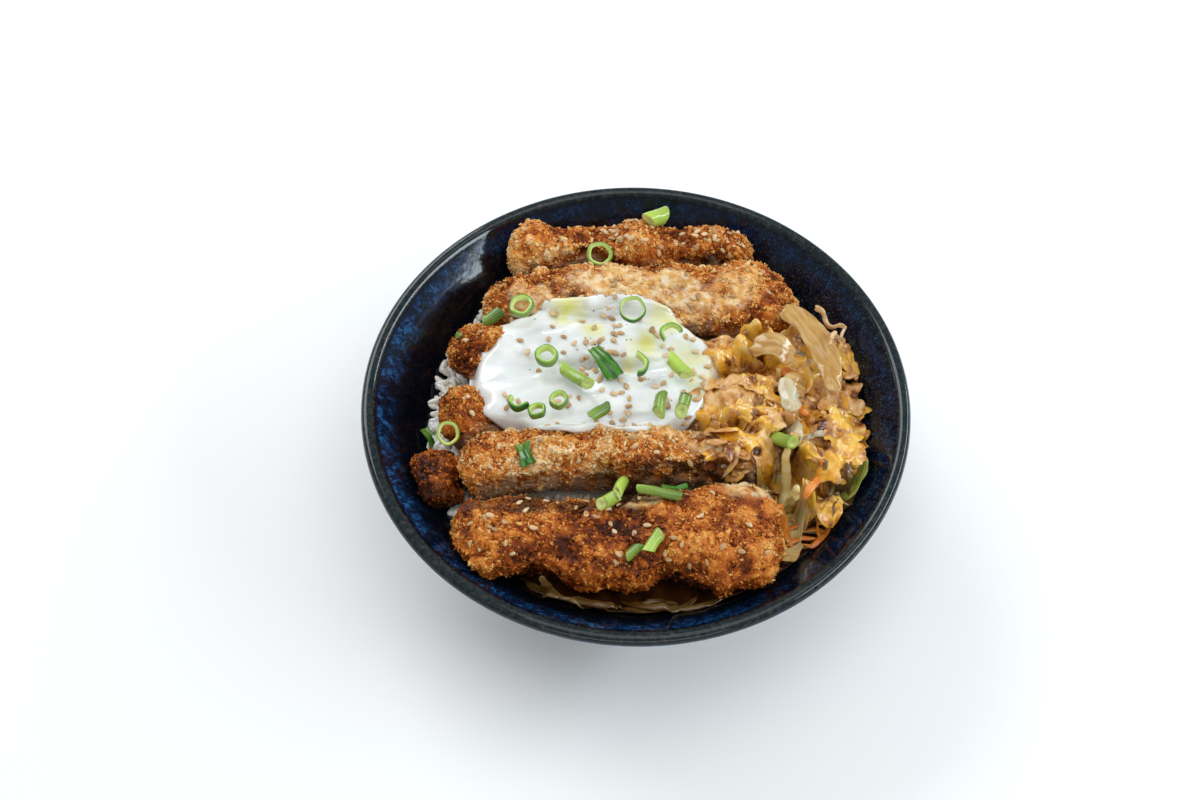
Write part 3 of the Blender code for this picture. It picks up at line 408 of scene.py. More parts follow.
def scattered(shape, centres, axes, sizes):
    """Copies of one small shape: each is stretched, turned to its axes and put in place."""
    shape_points, shape_faces = shape
    local = shape_points[None] * sizes[:, None]
    points = np.einsum("nvk,nkc->nvc", local, axes) + centres[:, None]
    offset = np.arange(len(centres))[:, None, None] * len(shape_points)
    faces = [(f[None] + offset).reshape(-1, f.shape[1]) for f in shape_faces]
    return points.reshape(-1, 3), faces


def bead(around, along, squareness=2.0, bend=0.0):
    """A unit bead along X: circles whose radius follows a superellipse, bent upwards."""
    place = np.sin(np.linspace(-1, 1, along) * math.pi / 2 * 0.96)
    radius = (1 - np.abs(place)**squareness) ** (1 / squareness)
    angle = 2 * math.pi * np.arange(around) / around
    rings = np.dstack([
        place[:, None] + 0 * angle, radius[:, None] * np.cos(angle),
        radius[:, None] * np.sin(angle)]) * 0.5
    rings[..., 2] += bend * (place[:, None] ** 2 - 0.4)
    return closed_skin(rings)


def rice_finish(name):
    """Ivory grains: brown where stock soaks them, more so to the right and in the front gap."""
    finish = new_finish(name, 0.34, {
        "Subsurface Weight": 0.35, "Subsurface Radius": (1.0, 0.8, 0.5),
        "Subsurface Scale": 1.2 * MM, "Coat Weight": 0.25, "Coat Roughness": 0.15})
    soaked = noise_of(finish, 14 * MM, 2.0)
    colour = ramp_of(finish, soaked, (
        (0.35, (0.90, 0.88, 0.83)), (0.6, (0.82, 0.76, 0.64)), (0.8, (0.50, 0.35, 0.18))))
    place = add_node(finish, "ShaderNodeTexCoord", output=3)
    sideways = add_node(finish, "ShaderNodeSeparateXYZ", {0: place}, output=0)
    depth = add_node(finish, "ShaderNodeSeparateXYZ", {0: place}, output=1)
    to_right = span_of(finish, sideways, -20 * MM, 45 * MM)
    colour = mix_of(finish, to_right, colour, (0.55, 0.40, 0.22))
    in_gap = span_of(finish, sideways, -66 * MM, -58 * MM)
    in_gap = product_of(finish, in_gap, span_of(finish, depth, -33 * MM, -40 * MM))
    colour = mix_of(finish, in_gap, colour, (0.16, 0.055, 0.012))
    dress(finish, colour, None, ((noise_of(finish, 1.2 * MM, 2.0), 0.25, 0.15 * MM),))
    return finish


points, faces = closed_skin(rice_core_rings())
piece("rice_core", points, faces, rice_finish("rice_packed"), ["rice"])

draw = np.random.default_rng(7)
tries = 4700
radius = np.sqrt(draw.uniform(0.02, 1, tries)) * (inner_radius(bed_level) - 3.5 * MM)
angle = draw.uniform(0, 2 * math.pi, tries)
spots = np.column_stack([radius * np.cos(angle), radius * np.sin(angle)])
open_sky = np.ones(tries, bool)
for name in cutlet_names:
    low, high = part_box(name)
    inset = 3 * MM
    covered = (spots[:, 0] > low.x + inset) & (spots[:, 0] < high.x - inset)
    covered &= (spots[:, 1] > low.y + inset) & (spots[:, 1] < high.y - inset)
    open_sky &= ~covered
# The stock covers the rice in front of the front strip
pool_back, pool_right = -62 * MM, 36 * MM
open_sky &= (spots[:, 1] > pool_back) | (spots[:, 0] > pool_right)
spots = spots[open_sky]
near_wall = np.hypot(*spots.T) / inner_radius(bed_level)
heights = bed_height(spots[:, 0]) + draw.uniform(-1.6, 1.1, len(spots)) * MM
heights -= 0.8 * MM * (near_wall > 0.9)
tilts = np.column_stack([draw.normal(0, 0.35, (len(spots), 2)), np.ones(len(spots))])
turns = draw.uniform(0, 2 * math.pi, len(spots))
sizes = grain_size * draw.uniform(0.75, 1.05, (len(spots), 1)) * draw.uniform(0.9, 1.1, (len(spots), 3))
points, faces = scattered(
    bead(8, 7, 2.4, 0.06), np.column_stack([spots, heights]), frames_on(tilts, turns), sizes)
piece("rice_grains", points, faces, rice_finish("rice_loose"))


# Sauce
# Thin brown stock runs down between the pieces and stands in the front of the bowl,
# where the rice is soaked. It is a clear glossy film that follows the bowl's wall.

sauce_level = bed_level + 0.9 * MM


def sauce_rings(around=200, along=30):
    """A flat crescent: a thin film whose edge creeps a little up the wall."""
    angle = np.linspace(math.radians(212), math.radians(322), around)
    outer = inner_radius(sauce_level + bed_rise * rim_radius * np.cos(angle)) - 0.5 * MM
    share = np.linspace(0, 1, along)[:, None]
    inner_edge = 64 * MM
    radius = inner_edge + (outer - inner_edge) * share
    x, y = radius * np.cos(angle), radius * np.sin(angle)
    flat = np.dstack([x, y, sauce_level + bed_rise * x])
    creep = 1.3 * MM * np.clip((share - 0.93) / 0.07, 0, 1) ** 2
    ends = np.minimum(angle - angle[0], angle[-1] - angle) / math.radians(14)
    sink = 2.2 * MM * (1 - np.clip(ends, 0, 1)) ** 1.5
    height = sauce_level + bed_rise * x + creep - sink
    height = height + 0.25 * MM * lumps(flat, 6 * MM, 8)
    return x, y, height


def film_finish(name, tint, roughness, thickness_tint):
    """A clear tinted film, with patches of the tint of its thicker places."""
    finish = new_finish(name, roughness, {
        "IOR": 1.36, "Transmission Weight": 0.55, "Base Color": (*tint, 1.0),
        "Coat Weight": 0.4, "Coat Roughness": 0.03})
    colour = ramp_of(finish, noise_of(finish, 7 * MM, 3.0), (
        (0.35, tint), (0.65, thickness_tint)))
    dress(finish, colour, None, ((noise_of(finish, 2.5 * MM, 1.0), 0.1, 0.2 * MM),))
    return finish


def sheet_skin(x, y, top, bottom):
    """A closed thin sheet over an open grid: both faces and a band round the edge."""
    rows, columns = x.shape
    upper = np.dstack([x, y, top]).reshape(-1, 3)
    lower = np.dstack([x, y, bottom]).reshape(-1, 3)
    number = np.arange(rows * columns).reshape(rows, columns)
    upper_quads = np.stack([
        number[:-1, :-1], number[1:, :-1], number[1:, 1:], number[:-1, 1:]], -1).reshape(-1, 4)
    lower_quads = upper_quads[:, ::-1] + rows * columns
    border = np.concatenate([
        number[0, :-1], number[:-1, -1], number[-1, :0:-1], number[:0:-1, 0]])
    ahead = np.roll(border, -1)
    band = np.column_stack([border, ahead, ahead + rows * columns, border + rows * columns])
    return np.vstack([upper, lower]), [upper_quads, lower_quads, band]


sauce_finish = film_finish("brown_stock", (0.16, 0.05, 0.012), 0.06, (0.05, 0.014, 0.004))
x, y, height = sauce_rings()
points, faces = sheet_skin(x, y, height, height - 0.8 * MM)
piece("stock_pool", points, faces, sauce_finish)


# Cutlet strips
# A pork cutlet is coated in coarse bread crumbs, fried, and cut into strips that lie
# across the rice. The crust stands in ragged flakes, with painted shade in its hollows
# and painted light at its golden tips. The cut sides show pale meat with a soaked brown edge.

strip_step = 0.62 * MM
shards_per_mm = 48


def wrapped(points, node, **settings):
    """The points moved onto a solid, by a shrinkwrap with these settings that is then read."""
    mesh = bpy.data.meshes.new("probe")
    mesh.vertices.add(len(points))
    mesh.vertices.foreach_set("co", points.astype(np.float32).ravel())
    probe = bpy.data.objects.new("probe", mesh)
    bpy.context.scene.collection.objects.link(probe)
    wrap = probe.modifiers.new("wrap", "SHRINKWRAP")
    wrap.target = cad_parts[node]
    for key, value in settings.items():
        setattr(wrap, key, value)
    evaluated = probe.evaluated_get(bpy.context.evaluated_depsgraph_get())
    moved = np.empty(len(points) * 3, np.float32)
    evaluated.data.vertices.foreach_get("co", moved)
    bpy.data.objects.remove(probe)
    return moved.reshape(-1, 3).astype(float)


def even_places(path, step):
    """Points along a path, evenly spread by its length: at least eight."""
    length = np.concatenate([[0], np.cumsum(np.linalg.norm(np.diff(path, axis=0), axis=1))])
    count = max(8, int(length[-1] / step))
    fine = np.linspace(0, length[-1], count)
    return np.column_stack([np.interp(fine, length, path[:, k]) for k in range(path.shape[1])])


def node_points(node):
    """The corner points of a solid."""
    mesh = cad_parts[node].data
    points = np.empty(len(mesh.vertices) * 3, np.float32)
    mesh.vertices.foreach_get("co", points)
    return points.reshape(-1, 3).astype(float)


def strip_rings(node):
    """A superellipse carried along X inside the solid's own limits, then wrapped onto it.

    The limits in y and z are read in slices along X. The ring shrinks to a point at
    both ends by the same superellipse, and all spacings are even by length.
    """
    squareness = 2.8
    solid = node_points(node)
    low, high = solid.min(axis=0), solid.max(axis=0)
    slices = np.linspace(low[0], high[0], 15)
    reach = (slices[1] - slices[0]) * 0.9
    limits = np.array([
        np.concatenate([near.min(axis=0)[1:], near.max(axis=0)[1:]])
        for near in (solid[np.abs(solid[:, 0] - place) < reach] for place in slices)])
    turn = np.linspace(-math.pi / 2, math.pi / 2, 900)
    run = np.sign(np.sin(turn)) * np.abs(np.sin(turn)) ** (2 / squareness)
    fall = np.abs(np.cos(turn)) ** (2 / squareness)
    half = (high - low) / 2
    walk = even_places(np.column_stack([
        (low[0] + high[0]) / 2 + run * half[0], fall * half[1]]), strip_step)
    x, ring_share = walk[:, 0], np.maximum(walk[:, 1] / half[1], 0.01)
    angle = np.linspace(0, 2 * math.pi, 900)
    circle = even_places(np.column_stack([
        np.sign(np.cos(angle)) * np.abs(np.cos(angle)) ** (2 / squareness) * half[1],
        np.sign(np.sin(angle)) * np.abs(np.sin(angle)) ** (2 / squareness) * half[2]]), strip_step)
    circle = circle[:-1] / half[1:]
    bounds = [np.interp(x, slices, limits[:, k]) for k in range(4)]
    middle_y, middle_z = (bounds[0] + bounds[2]) / 2, (bounds[1] + bounds[3]) / 2
    half_y, half_z = (bounds[2] - bounds[0]) / 2, (bounds[3] - bounds[1]) / 2
    rings = np.dstack([
        x[:, None] + 0 * circle[:, 0],
        middle_y[:, None] + (half_y * ring_share)[:, None] * circle[:, 0],
        middle_z[:, None] + (half_z * ring_share)[:, None] * circle[:, 1]])
    onto = wrapped(rings.reshape(-1, 3), node, wrap_method="NEAREST_SURFACEPOINT")
    return softened(onto.reshape(rings.shape), 7)


def softened(rings, times):
    """Each point moved to the mean of its four neighbours, again and again."""
    for _ in range(times):
        padded = np.concatenate([rings[:1], rings, rings[-1:]])
        rings = (padded[:-2] + padded[2:] + np.roll(rings, 1, 1) + np.roll(rings, -1, 1)) / 4
    return rings


def ring_normals(rings):
    """Unit normals from the differences along and around the rings."""
    along = np.gradient(rings, axis=0)
    around = (np.roll(rings, -1, 1) - np.roll(rings, 1, 1)) / 2
    normal = np.cross(around, along)
    return normal / np.maximum(np.linalg.norm(normal, axis=-1, keepdims=True), 1e-12)


def cells(points, size, salt=0):
    """Distance to the nearest of one random point in each lattice cell, and its number."""
    place = points / size
    cell = np.floor(place)
    nearest = np.full(points.shape[:-1], 9.0)
    number = np.zeros(points.shape[:-1])
    for step in np.ndindex(3, 3, 3):
        other = cell + np.array(step) - 1
        centre = other + np.stack([lattice_random(other, salt + k) for k in (1, 2, 3)], -1)
        distance = np.linalg.norm(place - centre, axis=-1)
        closer = distance < nearest
        nearest = np.where(closer, distance, nearest)
        number = np.where(closer, lattice_random(other, salt + 4), number)
    return nearest, number


def crust_relief(points, salt):
    """Crumb lumps of two sizes over broad ragged hollows: height in metres, lift (painted light on
    raised crumbs, painted shade in the hollows) and tone.
    """
    bent = points + 1.6 * MM * np.stack([lumps(points, 3.2 * MM, salt + k) for k in (1, 2, 3)], -1)
    coarse, tone = cells(bent, 5.4 * MM, salt)
    fine, fine_tone = cells(bent, 2.3 * MM, salt + 9)
    hollow = 0.7 * lumps(points, 15 * MM, salt + 20) + 0.5 * lumps(points, 8 * MM, salt + 25)
    crease = 1 - 2 * np.abs(lumps(points, 7 * MM, salt + 30))
    coarse_dome = np.clip(1 - coarse**2 * 1.3, 0, 1) * (0.25 + 0.75 * tone)
    fine_dome = np.clip(1 - fine**2 * 1.3, 0, 1) * (0.2 + 0.8 * fine_tone)
    grit = lumps(points, 1.3 * MM, salt + 40)
    height = (1.6 * coarse_dome + 0.9 * fine_dome + 2.6 * hollow + 0.8 * crease + 0.3 * grit
              - 1.7) * MM
    # The lift colours the crust: painted light where the relief stands high, painted shade where it
    # sinks.
    lift = 0.30 + 0.30 * coarse_dome + 0.22 * fine_dome + 0.26 * hollow + 0.12 * crease
    return height, np.clip(lift + 0.08 * grit, 0, 1), 0.5 * tone + 0.5 * fine_tone


# Where a strip bulges or is notched: node, x and y seen from above, reach and push
bulges = (
    ("katsu_6", -36, -80, 7, -3.6), ("katsu_6", -22, -80, 8, 2.2), ("katsu_6", 11, -81, 6, -3.8),
    ("katsu_6", 31, -82, 12, 3.0), ("katsu_6", 40, -45, 14, 2.4), ("katsu_6", -62, -50, 7, 2.2),
    ("katsu_6", -20, -45, 20, -2.2), ("katsu_6", 48, -62, 10, 2.0), ("katsu_6", -62, -72, 8, -2.5),
    ("katsu_5", -25, -38, 16, -1.6), ("katsu_5", 4, -37, 10, 1.8), ("katsu_5", 44, -38, 9, 1.5),
    ("katsu_5", 12, -18, 8, 1.6), ("katsu_5", -60, -30, 8, 2.0), ("katsu_5", 30, -30, 9, -1.6),
    ("katsu_2", 54, 32, 14, 3.4), ("katsu_2", 20, 42, 14, -1.2), ("katsu_2", -48, 44, 9, 1.8),
    ("katsu_2", 40, 56, 10, 2.0), ("katsu_1", -40, 72, 9, 2.2), ("katsu_1", -18, 66, 9, -2.2),
    ("katsu_1", 8, 70, 8, 1.6), ("katsu_1", 34, 74, 9, 1.8), ("katsu_3", -66, 20, 8, 2.0),
    ("katsu_4", -68, -4, 9, 2.4), ("katsu_4", -60, 8, 6, -2.0), ("katsu_7", -76, -38, 7, 2.0),
    ("katsu_3", -58, 11, 7, 2.8), ("katsu_3", -56, 27, 6, 2.6), ("katsu_3", -68, 18, 4, -2.0),
    ("katsu_4", -62, -15, 7, 2.8), ("katsu_4", -72, -6, 4, -1.8), ("katsu_7", -70, -28, 7, 2.2),
    ("katsu_7", -66, -44, 7, 2.0), ("katsu_1", 6, 62, 8, 2.2), ("katsu_1", -52, 64, 6, 2.0),
    ("katsu_2", -20, 52, 12, 1.8), ("katsu_2", 14, 54, 10, 2.0), ("katsu_2", -56, 40, 6, 2.2),
)


def bulge_of(points, node):
    """Smooth bell-shaped pushes, in metres."""
    push = np.zeros(points.shape[:-1])
    for owner, x, y, reach, height in bulges:
        if owner == node:
            away = np.hypot(points[..., 0] - x * MM, points[..., 1] - y * MM) / (reach * MM)
            push += height * MM * np.exp(-away**2)
    return push


def side_share(points, normals, node):
    """How far a place belongs to a cut side: it faces front or back and lies below the top."""
    low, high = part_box(node)
    facing = np.abs(normals[..., 1]) - np.abs(normals[..., 0]) * 1.5
    below = (high.z - points[..., 2]) / (high.z - low.z)
    ragged = 0.12 * lumps(points, 5 * MM, 31) + 0.05 * lumps(points, 2 * MM, 32)
    share = np.clip((facing - 0.62) * 5, 0, 1) * np.clip((below + ragged - 0.30) * 9, 0, 1)
    from_end = np.minimum(points[..., 0] - low.x, high.x - points[..., 0])
    return share * np.clip((from_end - 5 * MM) / (5 * MM), 0, 1)


# Which sides of each strip are cut: front and back
cut_sides = {
    "katsu_1": (1, 0), "katsu_2": (1, 1), "katsu_3": (1, 1), "katsu_4": (1, 1),
    "katsu_5": (1, 1), "katsu_6": (0, 1), "katsu_7": (0, 0),
}

# Egg film that clings to the top of a strip: node, x, y, reach along x and y
egg_films = (
    ("katsu_2", 2, 48, 34, 9), ("katsu_2", 26, 44, 24, 9), ("katsu_2", -40, 44, 10, 6),
    ("katsu_2", 46, 26, 14, 7), ("katsu_3", 34, 22, 14, 12), ("katsu_4", 32, -4, 24, 12),
    ("katsu_4", 44, -8, 12, 9), ("katsu_5", 44, -28, 14, 9), ("katsu_5", 10, -19, 16, 4),
    ("katsu_5", 34, -24, 18, 7), ("katsu_6", 42, -46, 12, 7), ("katsu_6", 2, -50, 8, 4),
)

# Where sauce has soaked the crust: node, x, y, reach along x and y
soaked_places = (
    ("katsu_6", -38, -51, 25, 6), ("katsu_6", 4, -47, 18, 5), ("katsu_5", 20, -37, 40, 4),
    ("katsu_2", 58, 22, 10, 6), ("katsu_1", 30, 62, 22, 4), ("katsu_7", -76, -42, 9, 6),
)


def oval_share(points, node, table):
    """Soft ovals seen from above: one in the middle of each, and nothing outside."""
    share = np.zeros(points.shape[:-1])
    for owner, x, y, reach_x, reach_y in table:
        if owner == node:
            away = np.hypot(
                (points[..., 0] - x * MM) / (reach_x * MM), (points[..., 1] - y * MM) / (reach_y * MM))
            share = np.maximum(share, np.clip((1.1 - away) * 2.5, 0, 1))
    return share


def film_share(points, node):
    """Egg film in its ovals, broken up by noise."""
    ragged = 0.5 + 0.9 * lumps(points, 4.5 * MM, 41) + 0.4 * lumps(points, 1.8 * MM, 42)
    return oval_share(points, node, egg_films) * np.clip(ragged + 0.25, 0, 1)


def crust_finish():
    """Crumbs from painted shade in the hollows to painted light on golden tips, then cut meat, egg film
    and soaked sauce.
    """
    finish = new_finish("fried_crumb", 0.5, {
        "Subsurface Weight": 0.2, "Subsurface Radius": (1.0, 0.35, 0.1),
        "Subsurface Scale": 0.8 * MM, "Specular IOR Level": 0.2})
    lift, tone, meat, film, painted_shading, soak = (
        layer_of(finish, layer) for layer in ("lift", "tone", "meat", "film", "painted_shading", "soak"))
    browning = noise_of(finish, 14 * MM, 2.0)
    speckle = noise_of(finish, 0.9 * MM, 3.0)
    value = lift
    for part, weight in ((tone, 0.18), (speckle, 0.25), (browning, 0.5)):
        value = sum_of(finish, value, product_of(finish, part, weight))
    # The layer taken off here is painted shade: set per strip, and deeper low on the sides.
    value = sum_of(finish, span_of(finish, value, 0.25, 1.65), painted_shading, "SUBTRACT")
    # The darkest stops are painted shade for the hollows, the lightest painted light for the tips.
    crust = ramp_of(finish, value, (
        (0.0, (0.022, 0.004, 0.0004)), (0.2, (0.11, 0.020, 0.0015)), (0.4, (0.30, 0.062, 0.005)),
        (0.55, (0.49, 0.130, 0.012)), (0.7, (0.66, 0.25, 0.040)), (0.85, (0.79, 0.42, 0.125)),
        (1.0, (0.87, 0.64, 0.36))))
    fibre = noise_of(finish, 1.6 * MM, 4.0, (0.35, 1, 1.4), 0.8)
    flesh = ramp_of(finish, fibre, (
        (0.3, (0.22, 0.095, 0.040)), (0.5, (0.48, 0.28, 0.15)), (0.72, (0.70, 0.50, 0.33))))
    colour = mix_of(finish, meat, crust, flesh)
    egg = ramp_of(finish, noise_of(finish, 3 * MM, 3.0), (
        (0.3, (0.58, 0.27, 0.06)), (0.48, (0.76, 0.50, 0.20)), (0.62, (0.84, 0.68, 0.45))))
    colour = mix_of(finish, product_of(finish, film, 0.85), colour, egg)
    colour = mix_of(finish, product_of(finish, soak, 0.9), colour, (0.045, 0.013, 0.002))
    wet = sum_of(finish, sum_of(finish, film, meat, "MAXIMUM"), soak, "MAXIMUM")
    roughness = span_of(finish, wet, 0.0, 1.0, 0.5, 0.27)
    dress(finish, colour, roughness, (
        (speckle, 0.6, 0.4 * MM), (noise_of(finish, 0.4 * MM, 2.0), 0.3, 0.15 * MM)))
    return finish


def crumb_shard():
    """An uneven eight-sided shard within a unit box."""
    points = np.array((
        (0.5, 0.08, 0), (-0.5, -0.05, 0.06), (0.1, 0.5, -0.08), (-0.12, -0.5, 0.05),
        (0.05, 0.1, 0.5), (-0.06, -0.04, -0.5)))
    faces = np.array((
        (0, 2, 4), (2, 1, 4), (1, 3, 4), (3, 0, 4), (2, 0, 5), (1, 2, 5), (3, 1, 5), (0, 3, 5)))
    return points, [faces]


# Painted light and shade: how much darker each strip is coloured at its left end, middle and right end
painted_shading_by_strip = {
    "katsu_1": (-0.07, 0.05, 0.14), "katsu_2": (0.03, -0.04, 0.10),
    "katsu_3": (0.14, 0.0, 0.0), "katsu_4": (0.22, 0.0, -0.04),
    "katsu_5": (-0.01, -0.12, -0.08), "katsu_6": (0.15, 0.20, 0.14), "katsu_7": (0.33, 0.33, 0.33),
}

any_turn = (0, 6.28)
crust = crust_finish()
crust_tops = []
for number, node in enumerate(cutlet_names):
    # The relief and the bulges are pushed out of the strip, less so where it is cut or wet
    rings = strip_rings(node)
    normals = ring_normals(rings)
    if np.einsum("ijk,ijk->", normals, rings - rings.mean(axis=(0, 1))) < 0:
        normals = -normals
    relief, lift, tone = crust_relief(rings, 50 * number)
    cut_front, cut_back = cut_sides[node]
    meat = side_share(rings, normals, node)
    is_cut = np.where(normals[..., 1] < 0, cut_front, cut_back)
    meat *= is_cut
    film = film_share(rings, node) * np.clip(normals[..., 2] * 2.5, 0, 1)
    calm = 1 - 0.72 * np.maximum(meat, 0.75 * film)
    low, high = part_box(node)
    taper = np.clip((np.arange(len(rings)) + 1) / 6, 0, 1)
    taper = np.minimum(taper, taper[::-1])[:, None]
    push = (relief * calm + bulge_of(rings, node)) * taper
    moved = rings + normals * push[..., None]
    moved[..., 2] = np.maximum(moved[..., 2], bed_height(moved[..., 0]) - 0.5 * MM)
    run = (rings[..., 0] - low.x) / (high.x - low.x)
    depth = (high.z - rings[..., 2]) / (high.z - low.z)
    # Painted shade: each strip darkens by its table entry, and more towards the bottom of its sides.
    painted_shading = np.interp(run, (0, 0.5, 1), painted_shading_by_strip[node]) + 0.20 * np.clip(depth * 1.5 - 0.5, 0, 1)
    soak = np.clip((depth - 0.6) * 2.4, 0, 1) * is_cut
    soak = np.maximum(soak, oval_share(rings, node, soaked_places))
    soak = soak * np.clip(0.8 + 0.8 * lumps(rings, 4 * MM, 43), 0, 1)
    points, faces = closed_skin(moved)

    # Loose crumbs stand on the crust, most of them on its raised and dry places
    seeds = np.random.default_rng(100 + number)
    count = int((high.x - low.x) / MM * shards_per_mm)
    weight = np.clip(normals[..., 2] + 0.75, 0.02, 1) * (1 - 0.93 * np.maximum(meat, film))
    weight = (weight * taper * (0.35 + lift)).ravel()
    chosen = seeds.choice(weight.size, count, p=weight / weight.sum())
    outward = normals.reshape(-1, 3)[chosen]
    long = seeds.gamma(5.0, 0.25, count) + 0.55
    sizes = np.column_stack([
        long, long * seeds.uniform(0.3, 0.75, count), long * seeds.uniform(0.2, 0.5, count)]) * MM
    lean = outward + seeds.normal(0, 0.9, (count, 3))
    centres = moved.reshape(-1, 3)[chosen] + outward * (0.12 * MM)
    shards, shard_faces = scattered(
        crumb_shard(), centres, frames_on(lean, seeds.uniform(*any_turn, count)), sizes)
    per_shard = len(shards) // count
    faces += [f + len(points) for f in shard_faces]
    ends = np.zeros(2)
    # Loose crumbs stand proud, so their lift gets this much extra painted light.
    shard_painted_light = 0.13
    layers = {}
    for layer, values, spread_out, closing in (
            ("lift", lift, 0.2, 0.4), ("tone", tone, 0.3, 0.4), ("meat", meat, 0, 0),
            ("film", film, 0, 0), ("painted_shading", painted_shading, 0.03, 0.1), ("soak", soak, 0, 0)):
        on_shards = values.ravel()[chosen] + seeds.normal(0, 1, count) * spread_out
        on_shards += shard_painted_light * (layer == "lift")
        layers[layer] = np.concatenate([
            values.ravel(), ends + closing, np.repeat(np.clip(on_shards, -0.3, 1), per_shard)])
    points = np.vstack([points, shards])
    piece("crumbed_" + node, points, faces, crust, [node], layers)
    upward = (normals[..., 2] > 0.45).ravel()
    crust_tops.append((moved.reshape(-1, 3)[upward], normals.reshape(-1, 3)[upward]))


# Onion, carrot and leek
# Slices of onion, carrot and leek are simmered in the stock until they are soft and
# half clear. The onion shows fibres along its length. They lie folded over each other
# at the right, and clear shreds of onion float at the front.


def smooth_copy(node):
    """Points and faces of a solid's merged copy, its triangles paired and rounded off."""
    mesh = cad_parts[node].data.copy()
    shape = bmesh.new()
    shape.from_mesh(mesh)
    bmesh.ops.remove_doubles(shape, verts=shape.verts[:], dist=0.02 * MM)
    bmesh.ops.join_triangles(
        shape, faces=shape.faces[:], angle_face_threshold=0.7, angle_shape_threshold=1.2)
    shape.to_mesh(mesh)
    shape.free()
    probe = bpy.data.objects.new("probe", mesh)
    bpy.context.scene.collection.objects.link(probe)
    rounding = probe.modifiers.new("rounding", "SUBSURF")
    rounding.levels = 3
    evaluated = probe.evaluated_get(bpy.context.evaluated_depsgraph_get()).data
    points = np.empty(len(evaluated.vertices) * 3, np.float32)
    evaluated.vertices.foreach_get("co", points)
    corners = np.empty(len(evaluated.loops), np.int32)
    evaluated.loops.foreach_get("vertex_index", corners)
    bpy.data.objects.remove(probe)
    return points.reshape(-1, 3).astype(float), [corners.reshape(-1, 4)]


def own_axes(points):
    """The mean, and three axes from the thinnest to the longest spread of the points."""
    unique = np.unique(np.round(points, 6), axis=0)
    middle = unique.mean(axis=0)
    axes = np.linalg.eigh(np.cov((unique - middle).T))[1].T
    return middle, axes


def slice_finish(name, stops, clear, roughness=0.16, fibre_size=1.0):
    """Colours over fibres that run along each slice, with a wet and half-clear body."""
    finish = new_finish(name, roughness, {
        "Subsurface Weight": 0.4, "Subsurface Radius": (1.0, 0.7, 0.3),
        "Subsurface Scale": 2.0 * MM, "Transmission Weight": clear, "IOR": 1.38,
        "Coat Weight": 0.3, "Coat Roughness": 0.05})
    vector = add_node(finish, "ShaderNodeCombineXYZ", {
        0: layer_of(finish, "across"), 1: layer_of(finish, "along")})
    fibre = add_node(finish, "ShaderNodeTexNoise", {
        "Vector": vector, "Scale": 1 / (fibre_size * MM), "Detail": 3.0, "Distortion": 0.3})
    soaked = noise_of(finish, 9 * MM, 2.0)
    value = sum_of(finish, product_of(finish, fibre, 0.6), product_of(finish, soaked, 0.4))
    dress(finish, ramp_of(finish, value, stops), None, ((fibre, 0.2, 0.25 * MM),))
    return finish


slice_finishes = {
    "onion": slice_finish("simmered_onion", (
        (0.34, (0.50, 0.25, 0.055)), (0.5, (0.68, 0.41, 0.13)), (0.66, (0.80, 0.59, 0.27))), 0.35),
    "pale": slice_finish("pale_onion", (
        (0.34, (0.62, 0.46, 0.20)), (0.5, (0.74, 0.64, 0.40)), (0.66, (0.80, 0.76, 0.60))), 0.35),
    "yellow": slice_finish("yellow_onion", (
        (0.34, (0.62, 0.42, 0.10)), (0.5, (0.78, 0.62, 0.23)), (0.66, (0.85, 0.77, 0.45))), 0.2),
    "fibrous": slice_finish("fibrous_shred", (
        (0.34, (0.42, 0.22, 0.08)), (0.5, (0.66, 0.43, 0.21)), (0.66, (0.80, 0.62, 0.40))), 0.0, 0.3),
    "clear": slice_finish("clear_onion", (
        (0.34, (0.14, 0.055, 0.008)), (0.5, (0.29, 0.15, 0.035)), (0.66, (0.46, 0.31, 0.11))), 0.6),
    "carrot": slice_finish("simmered_carrot", (
        (0.34, (0.48, 0.11, 0.012)), (0.5, (0.70, 0.20, 0.022)), (0.66, (0.80, 0.34, 0.06))), 0.05),
    "leek": slice_finish("simmered_leek", (
        (0.34, (0.10, 0.13, 0.012)), (0.5, (0.28, 0.32, 0.04)), (0.66, (0.50, 0.52, 0.14))), 0.1),
}

# Each slice's finish by its node
slice_kinds = {
    "carrot_1": "carrot", "carrot_2": "carrot", "carrot_3": "carrot", "carrot_4": "carrot",
    "onion_1": "onion", "onion_2": "pale", "onion_3": "clear", "onion_4": "clear",
    "onion_5": "onion", "onion_6": "yellow", "onion_7": "onion", "onion_8": "onion",
    "shred_1": "fibrous", "shred_2": "fibrous", "leek_1": "leek",
}

for number, (node, kind) in enumerate(slice_kinds.items()):
    points, faces = smooth_copy(node)
    middle, axes = own_axes(points)
    thin, across, along = ((points - middle) @ axis for axis in axes)
    wave = np.column_stack([lumps(points, 4.5 * MM, 60 + number + k) for k in (0, 3, 6)])
    points = points + 0.7 * MM * wave
    # Onion and shreds have frayed ends, ribs along their length and a flatter, wider body
    if kind not in ("carrot", "leek"):
        strand = lumps(np.column_stack([across, 0 * across, 0 * across]), 1.6 * MM, 90 + number)
        near_end = np.clip((np.abs(along) / np.abs(along).max() - 0.55) / 0.45, 0, 1)
        points = points + (1.3 * MM * strand * near_end * np.sign(along))[:, None] * axes[2]
        ribs = lumps(np.column_stack([across, 0.08 * along, 0 * along]), 1.5 * MM, 64 + number)
        points = points + (0.4 * MM * ribs - 0.4 * thin)[:, None] * axes[0]
        widening = 1.2 if kind == "yellow" else 0.25
        points = points + (widening * across)[:, None] * axes[1]
    piece("slice_" + node, points, faces, slice_finishes[kind], [node], {
        "across": across, "along": along * 0.12})


# Cooked egg
# Beaten egg is poured over the simmering onion and sets in ragged yellow sheets with
# holes, folds and paler streaks where the white wasn't mixed in.


